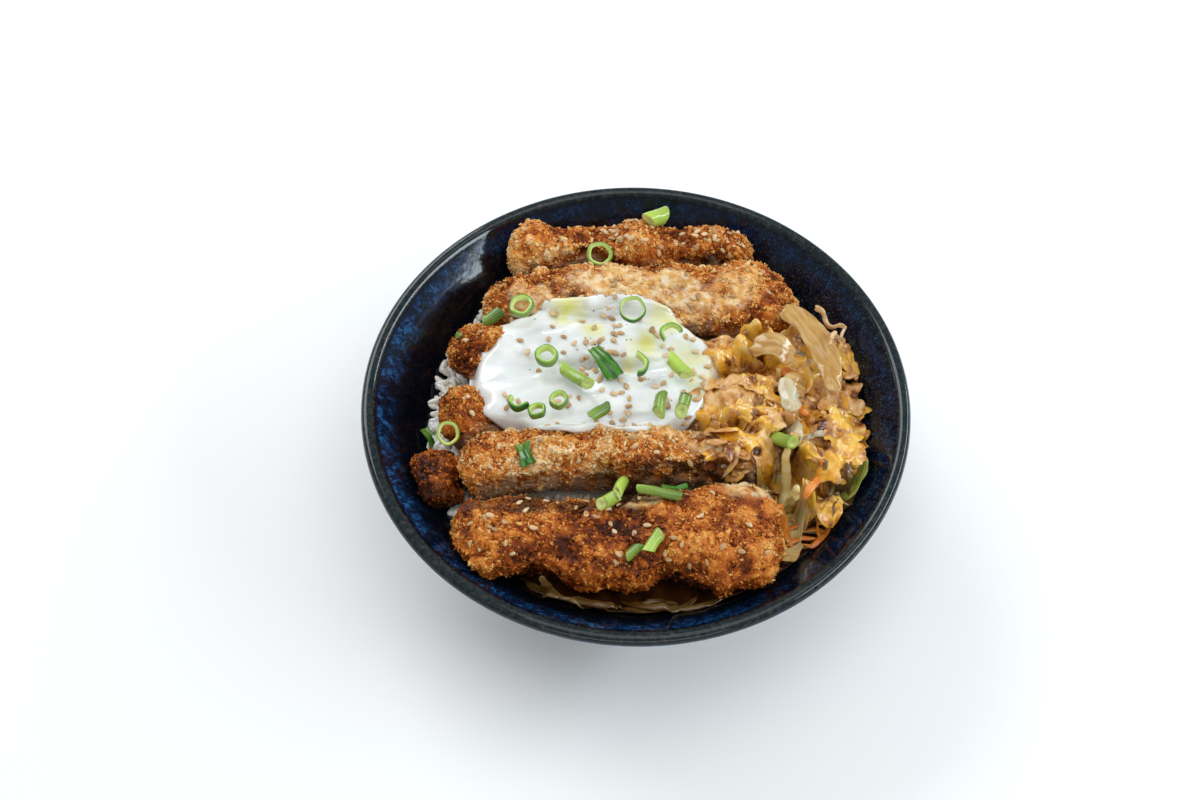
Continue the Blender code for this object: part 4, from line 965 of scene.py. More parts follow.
def height_under(x, y, nodes):
    """Height of the highest of some solids straight under each place, or -1 where none is."""
    best = np.full(x.size, -1.0)
    far_above = 0.2
    start = np.column_stack([x.ravel(), y.ravel(), np.full(x.size, far_above)])
    for node in nodes:
        height = wrapped(
            start, node, wrap_method="PROJECT", use_project_z=True,
            use_positive_direction=False, use_negative_direction=True)[:, 2]
        best = np.maximum(best, np.where(height > far_above - 10 * MM, -1.0, height))
    return best.reshape(x.shape)


def outline_of(node, centre, bins, around):
    """Radius of a solid seen from above, read in each direction and rounded by its waves."""
    away = node_points(node)[:, :2] - np.array(centre) * MM
    index = np.round(np.arctan2(away[:, 1], away[:, 0]) / (2 * math.pi) * bins).astype(int) % bins
    far = np.zeros(bins)
    np.maximum.at(far, index, np.hypot(*away.T))
    waves = np.fft.rfft(far)
    return np.fft.irfft(waves, around) * around / bins


def polar_places(node, centre, bins, around, along, hole, ragged, salt):
    """Polar places inside a solid's outline, ragged at the edge and round a hole."""
    angle = 2 * math.pi * np.arange(around) / around
    far = outline_of(node, centre, bins, around)
    edge = np.column_stack([np.cos(angle), np.sin(angle), np.full(around, salt * 1.0)])
    rag = 0.65 * lumps(edge, 0.32, salt) + 0.35 * lumps(edge, 0.12, salt + 1)
    far = far * (1 - ragged * (0.5 - 0.5 * rag))
    share = np.linspace(max(hole, 0.012), 1.0, along)[:, None]
    if hole > 0:
        share = share + (1 - share) * 0.25 * hole * lumps(edge, 0.5, salt + 2)
    x = centre[0] * MM + share * far * np.cos(angle)
    y = centre[1] * MM + share * far * np.sin(angle)
    return x, y, share + 0 * angle


def looped_skin(rings):
    """Points and faces of a skin over successive rings, whose last ring joins the first."""
    points, faces = closed_skin(rings)
    count, around = rings.shape[:2]
    last = (count - 1) * around
    j = np.arange(around)
    k = (j + 1) % around
    return points[:-2], [faces[0], np.column_stack([last + j, last + k, k, j])]


def filled_outwards(height):
    """Misses at the rim of a polar grid take the height of the ring inside them."""
    height = height.copy()
    for ring in range(1, len(height)):
        missed = height[ring] < 0
        height[ring, missed] = height[ring - 1, missed]
    return height


def sheet_rings(x, y, top, bottom):
    """Rings of a closed sheet from a polar grid: out along its underside and back on top."""
    return np.vstack([np.dstack([x, y, bottom]), np.dstack([x, y, top])[::-1]])


def polar_heights(x, y, nodes, times):
    """Softened heights of solids over a polar grid whose middle or rim may miss them."""
    height = height_under(x, y, nodes)
    for ring in range(len(height) - 2, -1, -1):
        height[ring] = np.where(height[ring] < 0, height[ring + 1], height[ring])
    return softened(np.dstack([x, y, filled_outwards(height)]), times)[..., 2]


def scrambled(flat, salt, size):
    """Relief of set egg, from about -1 to 1: lumps and folds with pits between them."""
    bent = flat + 0.25 * size * np.stack([lumps(flat, 0.6 * size, salt + k) for k in (1, 2, 3)], -1)
    dome, tone = cells(bent, size, salt + 4)
    small, small_tone = cells(bent, 0.45 * size, salt + 5)
    fold = 1 - 2.2 * np.abs(lumps(flat, 1.3 * size, salt + 6))
    pit = np.clip(lumps(flat, 0.9 * size, salt + 7) - 0.35, 0, 1) * 3
    lump = np.clip(1 - dome**2 * 1.5, 0, 1) * (0.3 + 0.7 * tone)
    bead_share = np.clip(1 - small**2 * 1.5, 0, 1) * small_tone
    return 0.9 * lump + 0.35 * bead_share + 0.7 * fold - 1.0 * pit - 0.5


# The darkest stops of these ramps give the painted shade in the egg's pits.
curd_tones = {
    "yellow": (
        (0.26, (0.16, 0.040, 0.003)), (0.38, (0.50, 0.18, 0.008)), (0.52, (0.76, 0.37, 0.022)),
        (0.66, (0.82, 0.48, 0.075)), (0.82, (0.80, 0.60, 0.28))),
    "tan": (
        (0.26, (0.065, 0.016, 0.002)), (0.38, (0.26, 0.085, 0.012)), (0.50, (0.54, 0.24, 0.055)),
        (0.64, (0.68, 0.38, 0.13)), (0.80, (0.78, 0.56, 0.30))),
}


def egg_finish(name, main, other, share):
    """Set egg in two tones: streaks within each, and patches where the other one shows. The lift layer
    lightens or darkens it: painted light and shade on curds and torn sheets.
    """
    finish = new_finish(name, 0.24, {
        "Subsurface Weight": 0.3, "Subsurface Radius": (1.0, 0.6, 0.2),
        "Subsurface Scale": 1.5 * MM, "Coat Weight": 0.35, "Coat Roughness": 0.08})
    streak = noise_of(finish, 5 * MM, 4.0, (1, 1, 1.6), 1.2)
    lift = layer_of(finish, "lift")
    value = sum_of(finish, product_of(finish, streak, 0.5), product_of(finish, lift, 0.5))
    patch = noise_of(finish, 9 * MM, 3.0, distortion=0.8)
    patch = span_of(finish, patch, 0.60 - 0.3 * share, 0.68 - 0.3 * share)
    colour = mix_of(
        finish, patch, ramp_of(finish, value, curd_tones[main]),
        ramp_of(finish, value, curd_tones[other]))
    dress(finish, colour, None, ((noise_of(finish, 1.3 * MM, 3.0), 0.4, 0.3 * MM),))
    return finish


yellow_egg = egg_finish("yellow_curd", "yellow", "tan", 0.3)
tan_egg = egg_finish("tan_curd", "tan", "yellow", 0.35)

# Cooked egg: node, centre seen from above, bins of its outline, share of its hole, size
# of its lumps and height of its relief in millimetres, finish
curds = (
    ("egg_6", (66, -8), 34, 0.0, 7.0, 1.9, tan_egg),
    ("egg_1", (66, -45), 16, 0.0, 5.0, 1.3, yellow_egg),
    ("egg_3", (66, 22), 16, 0.0, 6.0, 1.6, yellow_egg),
    ("egg_2", (70, -21), 16, 0.13, 6.0, 1.6, yellow_egg),
    ("egg_5", (47, 24), 16, 0.0, 5.0, 1.3, yellow_egg),
    ("egg_4", (45, -8), 16, 0.1, 6.0, 1.6, tan_egg),
)
for number, (node, centre, bins, hole, size, height, finish) in enumerate(curds):
    # The broad layer on the rice needs a finer grid, and its edge is cleaner
    around, along, ragged = (220, 100, 0.02) if node == "egg_6" else (140, 54, 0.12)
    x, y, share = polar_places(node, centre, bins, around, along, hole, ragged, 70 + number)
    top = polar_heights(x, y, [node], 4)
    lift = scrambled(np.dstack([x, y, 0.4 * top]), 90 + 10 * number, size * MM)
    edge = np.clip((share - 0.93) / 0.07, 0, 1) ** 2
    top = top + (height * lift - 1.2 * edge) * MM
    bottom = top - (0.5 + 1.7 * (1 - share**4)) * MM
    skin = looped_skin if hole > 0 else closed_skin
    points, faces = skin(sheet_rings(x, y, top, bottom))
    # The relief also colours the egg: painted light on its lumps, painted shade in its pits.
    lift = np.clip(0.5 + 0.45 * lift, 0, 1)
    tips = np.full(len(points) - 2 * x.size, 0.5)
    lift = np.concatenate([lift.ravel(), lift[::-1].ravel(), tips])
    piece("curd_" + node, points, faces, finish, [node], {"lift": lift})


def tubes(paths, widths, flatness=1.0, around=8):
    """Closed tubes along paths, narrowed towards both ends, as one set of points and faces."""
    heading = np.gradient(paths, axis=1)
    side = np.cross(heading, (0.0, 0.0, 1.0))
    side /= np.maximum(np.linalg.norm(side, axis=-1, keepdims=True), 1e-9)
    over = np.cross(side, heading)
    over /= np.maximum(np.linalg.norm(over, axis=-1, keepdims=True), 1e-9)
    share = np.linspace(-1, 1, paths.shape[1])
    radius = (widths[:, None] / 2 * (1 - 0.75 * np.abs(share) ** 4))[..., None]
    angle = 2 * math.pi * np.arange(around) / around
    rings = paths[:, :, None] + (radius * np.cos(angle))[..., None] * side[:, :, None]
    rings = rings + (radius * flatness * np.sin(angle))[..., None] * over[:, :, None]
    tips = rings[:, [0, -1]].mean(axis=2)
    points = np.concatenate([rings.reshape(len(paths), -1, 3), tips], axis=1)
    offset = np.arange(len(paths))[:, None, None] * points.shape[1]
    faces = [(f[None] + offset).reshape(-1, f.shape[1]) for f in closed_skin(rings[0])[1]]
    return points.reshape(-1, 3), faces


def wandering(draw, count, x_limits, y_limits, lengths, curl):
    """Curved paths seen from above: the heading drifts at random along each one."""
    stations = 14
    start = np.column_stack([draw.uniform(*x_limits, count), draw.uniform(*y_limits, count)]) * MM
    turn = draw.normal(0, curl, (count, 1)) + draw.normal(0, curl, (count, stations))
    heading = draw.uniform(0, 2 * math.pi, (count, 1)) + np.cumsum(turn, axis=1)
    step = draw.uniform(*lengths, (count, 1)) * MM / stations
    walk = np.cumsum(np.dstack([np.cos(heading), np.sin(heading)]) * step[..., None], axis=1)
    return start[:, None] + walk - walk.mean(axis=1, keepdims=True)


def laid(flat, nodes, lift, draw):
    """Paths seen from above, laid on the highest solid below and kept inside the bowl."""
    below = height_under(flat[..., 0], flat[..., 1], nodes)
    below = np.maximum(below, bed_height(flat[..., 0]))
    for _ in range(3):
        padded = np.concatenate([below[:, :1], below, below[:, -1:]], axis=1)
        below = np.maximum(below, (padded[:, :-2] + padded[:, 2:]) / 2)
    arch = np.sin(np.linspace(0, math.pi, flat.shape[1])) * draw.uniform(0, 1, (len(flat), 1))
    z = below + (lift + 1.6 * arch) * MM
    radius = np.hypot(flat[..., 0], flat[..., 1])
    allowed = inner_radius(np.minimum(z, lip_height)) - 1.6 * MM
    flat = flat * np.minimum(1, allowed / np.maximum(radius, 1e-6))[..., None]
    return np.dstack([flat, z])


def scrap():
    """A torn, flattened lump: a bead with folds pressed into it."""
    points, faces = bead(14, 12, 2.2, 0.10)
    folds = 1 + 0.55 * lumps(points, 0.34, 7) + 0.25 * lumps(points, 0.17, 8)
    return points * folds[:, None], faces


# Shreds of egg, onion and carrot in the scramble: finish, number, x and y limits, lengths,
# width, flatness and height above what is below
shreds = (
    (tan_egg, 26, (26, 80), (-34, 22), (7, 15), 3.4, 0.4, 0.6),
    (yellow_egg, 12, (46, 84), (-46, 30), (7, 14), 3.6, 0.35, 0.8),
    (slice_finishes["pale"], 8, (52, 84), (-50, 34), (7, 14), 2.8, 0.4, 1.0),
    (tan_egg, 20, (73, 86), (16, 38), (9, 19), 2.6, 0.5, 2.0),
    (slice_finishes["clear"], 7, (66, 80), (-54, -38), (14, 24), 1.6, 0.6, 1.5),
    (slice_finishes["carrot"], 9, (48, 74), (-60, 12), (7, 13), 2.1, 0.6, 1.0),
)
# Scraps of egg and onion between them: finish, number, x and y limits, size
scraps = (
    (tan_egg, 44, (22, 84), (-36, 26), (8.5, 6.0, 2.4)),
    (yellow_egg, 16, (52, 86), (-52, 30), (9.0, 6.5, 2.2)),
    (slice_finishes["pale"], 9, (50, 84), (-50, 26), (8.0, 4.5, 2.0)),
)
# Torn sheets of set egg and two flat wedges of onion: finish, x, y and reach seen from
# above, and how much longer the sheet is along y
torn_sheets = (
    (slice_finishes["yellow"], 54, -46, 6, 2.5), (slice_finishes["clear"], 80, -38, 5, 1.8),
    (yellow_egg, 40, -19, 11, 1.0), (yellow_egg, 54, -14, 9, 1.0),
    (yellow_egg, 60, -33, 9, 1.0), (yellow_egg, 78, -12, 9, 1.0),
    (tan_egg, 79, 5, 9, 1.0), (tan_egg, 68, 2, 11, 1.0), (tan_egg, 56, 0, 9, 1.0),
    (tan_egg, 33, -6, 12, 1.0), (tan_egg, 44, 4, 10, 1.0), (tan_egg, 30, 9, 9, 1.0),
    (tan_egg, 42, 15, 9, 1.0), (yellow_egg, 61, 15, 8, 1.0), (tan_egg, 77, 20, 8, 1.0),
    (tan_egg, 50, -36, 7, 1.0), (yellow_egg, 69, -50, 6, 1.0), (tan_egg, 36, 24, 8, 1.0),
    (tan_egg, 62, -46, 6, 1.0), (yellow_egg, 80, -26, 8, 1.0), (tan_egg, 47, -24, 8, 1.0),
)
# How far from the middle of the bowl a scrap and the edge of a torn sheet may lie
furthest_scrap, furthest_edge = 89 * MM, 91 * MM
draw = np.random.default_rng(31)
scramble_nodes = ["rice", "katsu_2", "katsu_3", "katsu_4", "katsu_5"] + [row[0] for row in curds]
for number, (finish, count, x_limits, y_limits, lengths, width, flat, lift) in enumerate(shreds):
    flat_paths = wandering(draw, count, x_limits, y_limits, lengths, 0.13)
    paths = laid(flat_paths, scramble_nodes, lift, draw)
    points, faces = tubes(paths, width * MM * draw.uniform(0.5, 1.4, count), flat, 12)
    rough = np.column_stack([lumps(points, 2.2 * MM, 300 + number + k) for k in (0, 40, 80)])
    points = points + 0.55 * MM * rough
    each = len(points) // count
    piece(f"shreds_{number + 1}", points, faces, finish, (), {
        "lift": np.repeat(draw.uniform(0.2, 0.9, count), each),
        "across": points[:, 0] * 0.3, "along": points[:, 1] * 0.3})
for number, (finish, count, x_limits, y_limits, size) in enumerate(scraps):
    spots = np.column_stack([draw.uniform(*x_limits, count), draw.uniform(*y_limits, count)]) * MM
    spots *= np.minimum(1, furthest_scrap / np.hypot(*spots.T))[:, None]
    centres = laid(np.repeat(spots[:, None], 2, axis=1), scramble_nodes, 0.5, draw)[:, 0]
    leans = np.column_stack([draw.normal(0, 0.4, (count, 2)), np.ones(count)])
    points, faces = scattered(
        scrap(), centres, frames_on(leans, draw.uniform(*any_turn, count)),
        np.array(size) * MM * draw.uniform(0.5, 1.35, (count, 1))
        * draw.uniform(0.7, 1.3, (count, 3)))
    rough = np.column_stack([lumps(points, 2.6 * MM, 400 + number + k) for k in (0, 40, 80)])
    points = points + 0.9 * MM * rough
    each = len(points) // count
    piece(f"scraps_{number + 1}", points, faces, finish, (), {
        "lift": np.repeat(draw.uniform(0.15, 0.9, count), each) + 0.1 * rough[:, 0],
        "across": points[:, 0] * 0.3, "along": points[:, 1] * 0.3})
# Each torn sheet is a polar grid: this many points round it, and rings out to its edge
around, along = 84, 26
angle = 2 * math.pi * np.arange(around) / around
for number, (finish, middle_x, middle_y, reach, stretch) in enumerate(torn_sheets):
    edge = np.column_stack([np.cos(angle), np.sin(angle), np.full(around, 1.7 * number)])
    far = reach * MM * (1 + 0.4 * lumps(edge, 0.8, 500) + 0.22 * lumps(edge, 0.3, 501))
    share = np.linspace(0.02, 1, along)[:, None]
    x = middle_x * MM + share * far * np.cos(angle)
    y = middle_y * MM + stretch * share * far * np.sin(angle)
    kept = np.minimum(1, furthest_edge / np.hypot(x, y))
    x, y = x * kept, y * kept
    below = np.maximum(polar_heights(x, y, scramble_nodes, 6), bed_height(x))
    flat = np.dstack([x, y, 0 * x])
    lift = scrambled(flat, 510 + 10 * number, 5.5 * MM)
    curl = (share**3) * (0.4 + 1.4 * lumps(flat, 6 * MM, 520 + number))
    top = below + (2.4 + 1.5 * lift + 1.2 * curl) * MM
    bottom = top - (0.5 + 0.8 * (1 - share**4)) * MM
    points, faces = closed_skin(sheet_rings(x, y, top, bottom))
    # The relief also colours the sheet: painted light on its lumps, painted shade in its pits.
    lift = np.clip(0.55 + 0.45 * lift, 0, 1)
    piece(f"torn_sheet_{number + 1}", points, faces, finish, (), {
        "lift": np.concatenate([lift.ravel(), lift[::-1].ravel(), (0.5, 0.5)]),
        "across": points[:, 0], "along": points[:, 1] * 0.12})

# Shreds in the stock at the front and right, by finish: path seen from above, width
floating = {
    "clear": (
        (((-44, -77), (-36, -81), (-27, -82)), 3.2), (((-24, -81), (-15, -85), (-6, -84)), 2.8),
        (((-34, -79), (-22, -85), (-14, -87)), 1.8), (((40, -76), (47, -72), (54, -68)), 2.2),
        (((-6, -81), (4, -87), (16, -85), (22, -79)), 2.8), (((-2, -84), (6, -80), (14, -83)), 2.0),
        (((10, -86), (22, -85), (33, -81)), 2.4), (((-12, -86), (-2, -88), (10, -88)), 1.8),
        (((60, -52), (68, -55), (73, -48), (67, -44)), 1.8), (((70, -50), (77, -48), (79, -40)), 1.6),
        (((72, -44), (80, -42), (78, -34)), 1.6), (((56, -60), (64, -60), (68, -54)), 1.7)),
    "carrot": (
        (((60, -54), (68, -52), (72, -57), (68, -62), (61, -59)), 2.4),
        (((52, -56), (58, -52), (65, -50)), 2.2), (((55, -60), (61, -56), (66, -57)), 1.8)),
}
for kind, routes in floating.items():
    paths = []
    for route, _ in routes:
        route = np.array(route, float) * MM
        corners = np.linspace(0, 1, len(route))
        even = np.linspace(0, 1, 24)
        path = np.column_stack([np.interp(even, corners, route[:, k]) for k in (0, 1)])
        for _ in range(12):
            path[1:-1] = (path[:-2] + path[1:-1] * 2 + path[2:]) / 4
        paths.append(path)
    widths = np.array([width for _, width in routes]) * MM
    lift = 1.2 if kind == "clear" else 2.6
    paths = laid(np.array(paths), ["rice", "onion_3", "onion_4"], lift, draw)
    points, faces = tubes(paths, widths, 0.45, 12)
    points = points + 0.3 * MM * lumps(points, 3 * MM, 350)[:, None]
    piece("floating_" + kind, points, faces, slice_finishes[kind], (), {
        "across": points[:, 1] * 0.6, "along": points[:, 0] * 0.15})


# Egg white
# A soft egg white is laid over the middle strips. It is wet, white and thick in the
# middle, sags between the strips, and thins to a brownish film at its edge.

white_centre = (-14, 11)
white_thickness = 3.0 * MM
under_white = ["katsu_1", "katsu_2", "katsu_3", "katsu_4", "katsu_5", "egg_4"]

# Places where raw yellow shows through the white: x, y, reach
yellow_places = (
    (-26, 37, 8), (-16, 27, 6), (4, 21, 8), (20, 15, 9), (12, 33, 8), (27, 4, 9), (-2, 12, 4),
)

# The sheet is spread a little to the left and right of its solid. Its height is 0.3 of
# the solid's top and 0.7 of a drape over the pieces below it: the loosely softened one,
# or the closely softened one less 0.8 mm where that is higher.
x, y, share = polar_places("egg_white", white_centre, 28, 280, 120, 0.0, 0.10, 95)
x = x + 0.07 * share * (x - white_centre[0] * MM)
solid_top = filled_outwards(height_under(x, y, ["egg_white"]))
felt = filled_outwards(height_under(x, y, under_white))
lowest_sag = 56 * MM
felt = np.maximum(felt, lowest_sag)
tight = softened(np.dstack([x, y, felt]), 12)[..., 2]
loose = softened(np.dstack([x, y, felt]), 160)[..., 2]
solid_top = softened(np.dstack([x, y, solid_top]), 90)[..., 2]
flat = np.dstack([x, y, 0 * x])
body = 0.3 * solid_top + 0.7 * (np.maximum(loose, tight - 0.8 * MM) + 0.8 * white_thickness)
body += (0.3 * lumps(flat, 17 * MM, 96) + 0.03 * lumps(flat, 6 * MM, 97)) * MM
fraying = 0.06 * lumps(flat, 11 * MM, 101) + 0.015 * lumps(flat, 4 * MM, 102)
to_edge = np.clip((share + fraying - 0.87) / 0.13, 0, 1)
film_top = np.maximum(tight, loose - 2.5 * MM) - (2.4 + 0.5 * lumps(flat, 4 * MM, 98)) * MM
top = body * (1 - to_edge**2.2) + film_top * to_edge**2.2
bottom = top - (0.45 + 2.2 * (1 - to_edge)) * MM
points, faces = closed_skin(sheet_rings(x, y, top, bottom))
yolk = np.zeros(x.shape)
for spot_x, spot_y, reach in yellow_places:
    away = np.hypot(x - spot_x * MM, y - spot_y * MM) / (reach * MM)
    yolk = np.maximum(yolk, np.clip(1.15 - away, 0, 1))
yolk *= np.clip(0.75 + 0.9 * lumps(flat, 5 * MM, 99), 0, 1)
thin = np.clip((share + 2 * fraying - 0.82) / 0.2, 0, 1) ** 1.5
# The thin edge is browner towards the right: its share rises by 12 for each metre
thin = thin * np.clip(0.55 + 12 * (x - white_centre[0] * MM), 0.25, 1)


def white_finish():
    """Milky white, yellow in the layer of raw yolk and brownish where the sheet is thin."""
    finish = new_finish("soft_egg_white", 0.16, {
        "Subsurface Weight": 0.55, "Subsurface Radius": (1.0, 0.85, 0.65),
        "Subsurface Scale": 3.0 * MM, "Coat Weight": 0.3, "Coat Roughness": 0.12})
    milky = ramp_of(finish, noise_of(finish, 9 * MM, 3.0, distortion=0.5), (
        (0.3, (0.72, 0.72, 0.68)), (0.6, (0.80, 0.81, 0.79))))
    colour = mix_of(finish, layer_of(finish, "yolk"), milky, (0.72, 0.70, 0.20))
    thinness = product_of(finish, layer_of(finish, "thin"), 0.85)
    colour = mix_of(finish, thinness, colour, (0.60, 0.42, 0.21))
    dress(finish, colour, None, ((noise_of(finish, 4 * MM, 2.0), 0.10, 0.4 * MM),))
    return finish


ends = np.zeros(2)
piece("white_sheet", points, faces, white_finish(), ["egg_white"], {
    "yolk": np.concatenate([yolk.ravel(), yolk[::-1].ravel(), ends]),
    "thin": np.concatenate([thin.ravel(), thin[::-1].ravel(), ends])})
white_top = (np.dstack([x, y, top]).reshape(-1, 3), to_edge.ravel())


# Spring onion
# Spring onion is cut across into rings, short lengths and bits of leaf, and thrown
# over the bowl raw. The outside is green, the cut faces are pale, and each length
# goes from leaf green to the white of the stalk.


def stalk_finish():
    """Leaf green or stalk white by the pale layer, darker outside by the skin layer."""
    finish = new_finish("spring_onion", 0.26, {
        "Subsurface Weight": 0.3, "Subsurface Radius": (0.6, 1.0, 0.2),
        "Subsurface Scale": 1.2 * MM, "Coat Weight": 0.25, "Coat Roughness": 0.08})
    vein = noise_of(finish, 0.8 * MM, 3.0)
    skin = sum_of(finish, layer_of(finish, "skin"), product_of(finish, vein, 0.22))
    skin = sum_of(finish, skin, 0.11, "SUBTRACT")
    green = ramp_of(finish, skin, (
        (0.05, (0.52, 0.64, 0.13)), (0.4, (0.27, 0.46, 0.035)), (0.7, (0.055, 0.22, 0.008)),
        (1.0, (0.012, 0.085, 0.004))))
    white = ramp_of(finish, skin, (
        (0.05, (0.76, 0.80, 0.38)), (0.5, (0.62, 0.72, 0.20)), (1.0, (0.42, 0.58, 0.08))))
    colour = mix_of(finish, layer_of(finish, "pale"), green, white)
    dress(finish, colour, None, ((vein, 0.3, 0.2 * MM),))
    return finish


green_finish = stalk_finish()


def circle_through(flat):
    """Centre of the circle nearest to points in a plane, by least squares."""
    rows = np.column_stack([2 * flat, np.ones(len(flat))])
    return np.linalg.lstsq(rows, (flat**2).sum(axis=1), rcond=None)[0][:2]


def cut_ring(node, salt):
    """A rounded wall carried round the solid's own circle, a little oval and uneven."""
    solid = np.unique(np.round(node_points(node), 6), axis=0)
    middle, axes = own_axes(solid)
    upright = int(np.argmax(np.abs(axes[:, 2])))
    normal = axes[upright] * np.sign(axes[upright, 2])
    first = axes[2] if upright != 2 else axes[1]
    second = np.cross(normal, first)
    flat = (solid - middle) @ np.column_stack([first, second])
    centre = circle_through(flat)
    away = flat - centre
    radius = np.hypot(*away.T)
    height = np.ptp((solid - middle) @ normal)
    heading = math.atan2(away[:, 1].mean(), away[:, 0].mean())
    from_heading = (np.arctan2(away[:, 1], away[:, 0]) - heading + math.pi) % (2 * math.pi) - math.pi
    open_curl = np.ptp(from_heading) < 5.2
    around, across = 48, 16
    if open_curl:
        turn = heading + np.linspace(from_heading.min(), from_heading.max(), around)
    else:
        turn = 2 * math.pi * np.arange(around) / around
    wall = (radius.max() - radius.min()) / 2 * 0.92
    centreline = (radius.max() + radius.min()) / 2
    lean = 1 + 0.05 * np.sin(2 * turn + salt) + 0.025 * np.sin(5 * turn + 2 * salt)
    section = 2 * math.pi * np.arange(across) / across
    side = np.sign(np.cos(section)) * np.abs(np.cos(section)) ** 0.7
    level = np.sign(np.sin(section)) * np.abs(np.sin(section)) ** 0.55
    reach = centreline * lean[:, None] + wall * side
    rise = height / 2 * level + 0.25 * MM * np.sin(3 * turn + salt)[:, None]
    spot = centre[:, None, None] + np.stack([
        reach * np.cos(turn)[:, None], reach * np.sin(turn)[:, None]])
    rings = middle + spot[0][..., None] * first + spot[1][..., None] * second
    rings = rings + rise[..., None] * normal
    skin = np.tile(0.5 + 0.5 * side, (around, 1))
    points, faces = closed_skin(rings) if open_curl else looped_skin(rings)
    skin = np.concatenate([skin.ravel(), np.full(len(points) - skin.size, 0.3)])
    return points, faces, skin


def cut_length(node, salt):
    """A round stalk along the solid's longest axis, with flat cut ends and a hollow core."""
    solid = np.unique(np.round(node_points(node), 6), axis=0)
    middle, axes = own_axes(solid)
    local = (solid - middle) @ axes.T
    half = np.ptp(local[:, 2]) / 2 * 0.96
    radius = (np.ptp(local[:, 0]) + np.ptp(local[:, 1])) / 4
    angle = 2 * math.pi * np.arange(24) / 24
    place = np.concatenate([[-0.86, -1, -1, -1], np.linspace(-0.97, 0.97, 14), [1, 1, 1, 0.86]])
    share = np.concatenate([[0.25, 0.35, 0.75, 0.95], np.ones(14), [0.95, 0.75, 0.35, 0.25]])
    bend = 0.06 * half * np.sin(place * 2 + salt)
    wide = share[:, None] * radius * (1 + 0.05 * np.sin(3 * angle + salt))
    rings = middle + (place * half)[:, None, None] * axes[2]
    rings = rings + (wide * np.cos(angle) + bend[:, None])[..., None] * axes[1]
    rings = rings + (wide * np.sin(angle) * 0.88)[..., None] * axes[0]
    end = np.where(np.abs(place) > 0.8, np.sign(place), 0)[:, None]
    slant = 0.55 * wide * np.cos(angle + salt) * end
    rings = rings + (0.12 * radius * lumps(rings, 3 * MM, 130))[..., None] * axes[0]
    rings = rings + slant[..., None] * axes[2]
    points, faces = closed_skin(rings)
    skin = np.where(share > 0.97, 1.0, share * 0.55)[:, None] + 0 * angle
    return points, faces, np.concatenate([skin.ravel(), [0.25, 0.25]])


def cut_leaf(node, salt):
    """A thin wavy sheet over the solid's two longest axes, folded along its middle."""
    solid = np.unique(np.round(node_points(node), 6), axis=0)
    middle, axes = own_axes(solid)
    local = (solid - middle) @ axes.T
    half_length, half_width = np.ptp(local[:, 2]) / 2, np.ptp(local[:, 1]) / 2
    u = np.linspace(-1, 1, 30)[:, None]
    v = np.linspace(-1, 1, 17)[None, :]
    taper = 0.82 + 0.18 * np.cos(u * 1.9 + salt)
    torn = 1 + 0.04 * np.sin(5 * v + salt) * np.abs(u) ** 6
    along = u * half_length * torn + 0 * v
    across = v * half_width * taper
    up = (0.5 * v**2 * half_width * 0.35 - 0.5 * MM
          + 0.45 * MM * np.sin(3.2 * u + salt) + 0.25 * MM * np.sin(5 * v + 2 * u + salt))
    normal = axes[0] * np.sign(axes[0, 2])
    top = middle + along[..., None] * axes[2] + across[..., None] * axes[1] + up[..., None] * normal
    bottom = top - 0.55 * MM * normal
    points, faces = sheet_skin(
        np.zeros(top.shape[:2]), np.zeros(top.shape[:2]), top[..., 2], bottom[..., 2])
    points = np.vstack([top.reshape(-1, 3), bottom.reshape(-1, 3)])
    skin = 0.86 + 0.14 * np.cos(6 * v) + 0 * u
    return points, faces, np.concatenate([skin.ravel(), skin.ravel() * 0.85])


# How pale each piece is, from leaf green at 0 to the white of the stalk at 1
paleness = {
    "ring_1": 0.35, "ring_2": 0.25, "ring_3": 0.1, "ring_4": 0.2, "ring_5": 0.1, "ring_6": 0.15,
    "ring_7": 0.75, "curl_1": 0.0, "curl_2": 0.15, "curl_3": 0.0, "plug_1": 0.65, "plug_2": 0.3,
    "plug_3": 0.45, "plug_4": 0.45, "plug_5": 0.95, "plug_6": 0.4, "plug_7": 0.9, "plug_8": 0.8,
    "plug_9": 0.8, "plug_10": 0.35, "plug_11": 0.6, "plug_12": 0.3, "plug_13": 0.85,
    "leaf_1": 0.0, "leaf_2": 0.0, "leaf_3": 0.0, "leaf_4": 0.1, "leaf_5": 0.1,
}
cuts = {"ring": cut_ring, "curl": cut_ring, "plug": cut_length, "leaf": cut_leaf}
for number, (name, pale) in enumerate(paleness.items()):
    points, faces, skin = cuts[name.split("_")[0]]("scallion_" + name, 1.7 * number)
    along = (points - points.mean(axis=0)) @ own_axes(points)[1][2]
    shade = np.clip(pale + 0.35 * along / max(np.ptp(along), 1e-6), 0, 1)
    piece("green_" + name, points, faces, green_finish, ["scallion_" + name], {
        "skin": skin, "pale": shade})


# Sesame
# Roasted sesame seeds are sprinkled over the egg white and the strips, most of them on
# the front and back ones. Each is a flat drop that is narrower at one end.


def sesame_seed():
    """A bead whose width is taken times 1 - x / 2: about 1.25 at one end, 0.75 at the other."""
    points, faces = bead(8, 6, 2.0)
    width = 1 - 0.5 * np.clip(points[:, :1], -0.5, 0.5) * (0, 1, 0)
    return points * width, faces


